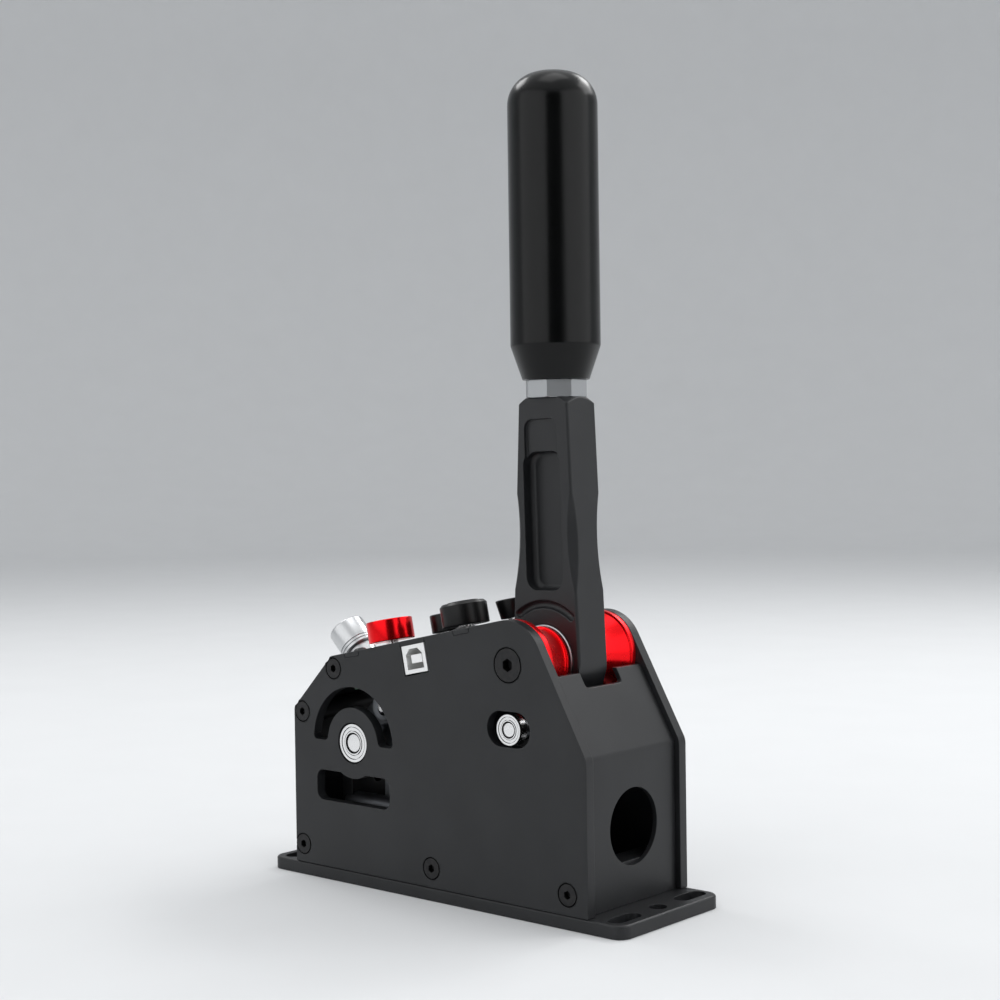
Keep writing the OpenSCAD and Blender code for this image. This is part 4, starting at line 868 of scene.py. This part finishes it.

# %% [markdown]
# Shielded ball bearings
#
# From outside, a shielded bearing is a set of rings: the outer race with its corner radii, a groove where
# the shield snaps in, the pressed shield, a fine shaded gap, and the inner race. The balls can't be seen,
# so the profile below goes round the outside of all of these in one line. The gaps hold grease and lie in
# shade; a second, flat black finish on their walls is that shade, painted. The lever's own bearings are
# pressed in deep beside the hubs. Only their rims show, so they get a duller steel, a small corner and no
# black gaps.

# %% Bearings
RACE, SHIELD, GROOVE, GAP = 0.0, 0.08, 0.14, 0.6
STEEP = 0.85
RINGS = [(0.03, RACE), (0.155, RACE), (0.165, GAP), (0.22, GAP), (0.23, GROOVE), (0.38, SHIELD),
         (0.535, GROOVE), (0.545, GAP), (0.6, GAP), (0.61, RACE)]


def bearing_profile(bore, corner=0.55):
    """Profile of a bearing: shares of the way from bore to rim, each with its depth in millimetres."""
    def profile(width, outer):
        share = [(0, 0.3), *RINGS, (1 - corner / 4, 0), (1, corner)]
        low = [(bore + part * (outer - bore), rise) for part, rise in share]
        high = [(r, width - h) for r, h in low]
        return [*low, *high[::-1], low[0]]
    return profile


def paint_shade_in_gaps(piece, places, flat=0.72, deep=1.6):
    """Paints shade: flat black on faces within deep millimetres of either end that don't face that way."""
    piece.data.materials.append(painted_gap_shade)
    middles = np.array([foot + axis * length * MM / 2 for foot, axis, length, _ in places])
    dark = []
    for face in piece.data.polygons:
        centre, normal = np.array(face.center), np.array(face.normal)
        foot, axis, length, _ = places[np.linalg.norm(middles - centre, axis=1).argmin()]
        rise = (centre - foot) @ axis / MM
        dark.append(abs(normal @ axis) < flat and min(rise, length - rise) < deep)
    piece.data.polygons.foreach_set("material_index", np.array(dark, np.int32))


for node, bore in (("rear_bearings", 4.04), ("lever_bearings", 5.04), ("guide_rollers", 3.05)):
    pressed = node == "lever_bearings"
    piece = turned(node, outward(node), bearing_profile(bore, 0.2 if pressed else 0.55),
                   ring_steel if pressed else None, 25)
    if not pressed:
        # Painted shade: the walls of these bearings' gaps get the flat black.
        paint_shade_in_gaps(piece, outward(node), STEEP)
    print(node, "bore", 2 * bore, "faces", len(piece.data.polygons))

# %% [markdown]
# Pins and shafts
#
# Ground pins are bar stock with a small chamfer at both ends, which catches a ring of light. The two that
# show in the windows sit inside bearings. There the chamfer lies in the shade of the bearing's gap, so it
# gets the flat black finish too, as painted shade.

# %% Pins
CHAMFER_DEEP = 0.45
PINS = {
    "cross_pin": (ACROSS, 0.5), "rocker_shaft": (ACROSS, 0.6), "link_pin": (ACROSS, 0.4),
    "drive_pin": (ACROSS, 0.4), "guide_rods": ((1, 0, 0), 0.4), "plunger_pin": (UP_FACET, 0.4),
    "adjuster_spindle": (UP_COVER, 0.4),
}


def bar_profile(chamfer, blend=0.08):
    """Profile of a bar that is chamfered at both ends."""
    def profile(length, radius):
        return rounded([(0, 0, 0), (radius - chamfer, 0, blend), (radius, chamfer, blend),
                        (radius, length - chamfer, blend), (radius - chamfer, length, blend),
                        (0, length, 0)], 3)
    return profile


for node, (axis, chamfer) in PINS.items():
    # The guide rods take the darker steel, whose grey paints the shade inside the housing.
    finish = shade_darkened_rod_steel if node == "guide_rods" else None
    piece = turned(node, along(node, axis), bar_profile(chamfer), finish, 30)
    if node in ("cross_pin", "rocker_shaft"):
        # Painted shade: the chamfers inside the bearings get the flat black.
        paint_shade_in_gaps(piece, along(node, axis), STEEP, CHAMFER_DEEP)
print("pins and shafts:", len(PINS))

# %% [markdown]
# Knobs
#
# The three black knobs are moulded caps on encoder shafts. The large one has a chamfered top edge and a
# raised disc on top, the rear one is a plain cylinder, and the flared one widens upwards. The red knob is
# a turned ring with a dished top. The silver knob pulls the index plunger: a cylinder with two fine
# grooves near its foot, so that fingers feel where it ends.

# %% Knobs
SHAFT_R, SPINDLE_R = 3.05, 2.55
DISC_IN, DISC_H, TOP_CUT = 3.2, 0.4, 1.1
DISH_IN, DISH_DEEP = 2.6, 0.6


def hole(radius, depth):
    """Corners of the hole that a knob has for its shaft."""
    return [(radius, depth, 0), (radius, 0, 0.1)]


def red_profile(length, radius):
    return rounded([*hole(SPINDLE_R, length - 2), (radius, 0, 0.35), (radius, length, 0.5),
                    (radius - DISH_IN, length, 0.2), (radius - DISH_IN - 0.4, length - DISH_DEEP, 0.1),
                    (0, length - DISH_DEEP, 0)], 5)


def black_profile(length, radius):
    shoulder = length - DISC_H
    return rounded([*hole(SHAFT_R, shoulder - 2), (radius, 0, 0.4), (radius, shoulder - TOP_CUT, 0.3),
                    (radius - TOP_CUT, shoulder, 0.3), (radius - DISC_IN, shoulder, 0),
                    (radius - DISC_IN, length, 0.15), (0, length, 0)], 4)


def rear_profile(length, radius):
    return rounded([*hole(SHAFT_R, length - 2), (radius, 0, 0.4), (radius, length, 0.6),
                    (0, length, 0)], 6)


def flared_profile(length, radius):
    return rounded([*hole(SHAFT_R, length - 2), (radius - 1.2, 0, 0.4), (radius, length, 0.5),
                    (0, length, 0)], 6)


def silver_profile(length, radius):
    grooved = [(0.2, 0, 0.3), (0.2, 1.0, 0.1), (0.5, 1.1, 0), (0.5, 1.5, 0), (0.1, 1.6, 0.1),
               (0.1, 2.3, 0.1), (0.4, 2.4, 0), (0.4, 2.8, 0), (0, 2.9, 0.1)]
    return rounded([*hole(SHAFT_R, length - 3), *((radius - cut, h, r) for cut, h, r in grooved),
                    (radius, length, 0.7), (0, length, 0)], 5)


for node, axis, profile, finish, crease, turns in (
        ("red_knob", UP_COVER, red_profile, red_knob_metal, 30, FINE_TURNS),
        ("black_knob", UP_COVER, black_profile, None, 40, FINE_TURNS),
        ("rear_knob", UP_COVER, rear_profile, None, 40, TURNS),
        ("flared_knob", UP_COVER, flared_profile, None, 40, TURNS),
        ("silver_knob", UP_FACET, silver_profile, silver_metal, 28, FINE_TURNS)):
    knob = turned(node, along(node, axis), profile, finish, crease, turns)
    print(node, "faces", len(knob.data.polygons))

# %% [markdown]
# Socket screws
#
# A countersunk screw is a cone under a flat head with a hexagonal hole for the key. Seen from outside it
# is all in one surface: the floor of the hole, its six walls, a small chamfer round them, the flat head,
# the rounded rim, the cone and the shank. A real head is 0.3 mm smaller all round than its countersink,
# and that gap is the dark ring round each screw. The gap drawn is shallower than a real one, so the walls
# of the gap and of the key hole get the flat black finish as painted shade. The cover's screws have a low
# dome for a head. Each of those lines is a circle or a hexagon, so the surface is a grid of angles and
# lines, and the distance from the axis is a radius or the hexagon's reach.

# %% Lines of a screw
HEAD_GAP, GAP_DEEP = 0.3, 0.36
DOME_H, DOME_DEEP = 1.65, 1.0
SPOKES = 72


def sunk_head(head_r, shank_r):
    """(radius, depth) lines of a countersunk head and of the gap round it, down to the shank."""
    face_r = head_r - HEAD_GAP
    return [(face_r - 0.12, 0), (face_r, 0.1), (face_r, GAP_DEEP), (head_r, 0.03), (head_r, 0.08),
            (shank_r, 0.08 + head_r - shank_r)]


def domed_head(head_r, shank_r):
    """(radius, depth) lines of a domed head, from the socket's rim down to the shank."""
    arc = np.linspace(0.35, 1.0, 7) * math.pi / 2
    return [*((head_r * math.sin(a), DOME_H * (1 - math.cos(a))) for a in arc), (shank_r, DOME_H)]


def screw_mesh(name, head, inward, head_r, shank_r, long, key, sunk):
    """Socket screw whose head's face is at head and whose shank runs inward; sizes in millimetres."""
    side, other = square_to(inward, UP)
    angle = np.linspace(0, 2 * np.pi, SPOKES, endpoint=False)
    hexagon = bar_reach(angle, key / 2, 6)
    edge = sunk_head(head_r, shank_r) if sunk else domed_head(head_r, shank_r)
    top = 0.0 if sunk else edge.pop(0)[1]
    floor_at = top + ((head_r - shank_r) * 0.85 if sunk else DOME_DEEP)
    lines = [(0 * hexagon, floor_at + 0.25), (hexagon * 0.94, floor_at), (hexagon, floor_at),
             (hexagon, top + 0.18), (hexagon + 0.16, top)]
    edge += [(shank_r, long - 0.5), (shank_r - 0.4, long), (0, long)]
    lines += [(np.full(SPOKES, r), depth) for r, depth in edge]
    radius = np.stack([r for r, _ in lines], 1)[..., None]
    rise = np.array([depth for _, depth in lines])[None, :, None]
    around = np.cos(angle)[:, None, None] * side + np.sin(angle)[:, None, None] * other
    return closed_up(grid_mesh(name, head + (rise * inward + radius * around) * MM, close_u=True))


# %% [markdown]
# Screws in their places
#
# The frame gives the place, length and head radius of every screw. What it doesn't say is at which end
# the head is. The side and pivot screws come in from both sides, so their heads are at the outer end. The
# base and rear screws have them at the low end, and the cover screws at the high one.

# %% Screws
def screws(node, axis, shank_r, key, head_is_low, sunk=True):
    """Screws of a node along an axis; head_is_low tells from the low end whether the head is there."""
    meshes = []
    for foot, unit, length, radius in along(node, axis):
        head, inward = (foot, unit) if head_is_low(foot) else (foot + length * MM * unit, -unit)
        meshes.append(screw_mesh(node, head, inward, radius, shank_r, length, key, sunk))
    print(node, len(meshes))
    piece = place_piece(node + "_cut", joined(node + "_cut", meshes), node, crease=28)
    if sunk:
        # Painted shade: flat black on the walls of the gap round each head and of the key hole.
        paint_shade_in_gaps(piece, along(node, axis))


screws("side_screws", ACROSS, 2.0, 2.5, lambda foot: foot[1] < 0)
screws("pivot_screws", ACROSS, 3.0, 4.0, lambda foot: foot[1] < 0)
screws("base_screws", UP, 2.5, 3.0, lambda foot: True)
screws("rear_screws", (1, 0, 0), 1.5, 2.0, lambda foot: True)
screws("cover_screws", UP_COVER, 1.5, 2.0, lambda foot: False, sunk=False)

# %% [markdown]
# Centring springs
#
# A compression spring is round wire on a helix, with its first and last turn closed and ground flat. Here
# the wire is a tube swept along the helix: each ring of it stands square to the helix, which climbs a
# little slower at both ends. The real springs are squeezed when the lever moves; this wire rides on no
# body and keeps the shape and place that it is built with.

# %% Springs
WIRE_R = 0.8
STEPS_PER_TURN, WIRE_SIDES = 28, 10
END_TURN, SLOW_SHARE = 0.15, 0.1


def spring_mesh(name, node, turns):
    """Wire swept along a helix about X that fills a node's box."""
    low, high = (np.array(corner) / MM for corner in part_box(node))
    middle, mean_r = (low + high) / 2, (high[2] - low[2]) / 2 - WIRE_R
    t = np.linspace(0, 1, int(turns * STEPS_PER_TURN) + 1)
    climb = np.clip((t * turns - END_TURN) / (turns - 2 * END_TURN), 0, 1)
    share = (1 - SLOW_SHARE) * t + SLOW_SHARE * (0.5 - 0.5 * np.cos(np.pi * climb))
    angle = 2 * np.pi * turns * t
    out = np.stack([0 * t, np.cos(angle), np.sin(angle)], 1)
    line = middle + mean_r * out
    line[:, 0] = low[0] + WIRE_R + (high[0] - low[0] - 2 * WIRE_R) * share
    tangent = np.gradient(line, axis=0)
    tangent /= np.linalg.norm(tangent, axis=1)[:, None]
    third = np.cross(tangent, out)
    ring = np.linspace(0, 2 * np.pi, WIRE_SIDES, endpoint=False)[None, :, None]
    around = np.cos(ring) * out[:, None] + np.sin(ring) * third[:, None]
    caps = np.repeat(line[[0, -1], None], WIRE_SIDES, 1)
    points = np.concatenate([caps[:1], line[:, None] + WIRE_R * around, caps[1:]]) * MM
    return closed_up(grid_mesh(name, points, close_v=True))


for node, turns, fixed, moving in (("front_spring", 8, 8.6, 37.0), ("rear_spring", 4, -8.6, -26.0)):
    mesh = spring_mesh(node + "_wire", node, turns)
    wire = place_piece(node + "_wire", mesh, node, crease=60, rides=False)
    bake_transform(wire)
    print(node, "turns", turns, "faces", len(mesh.polygons))
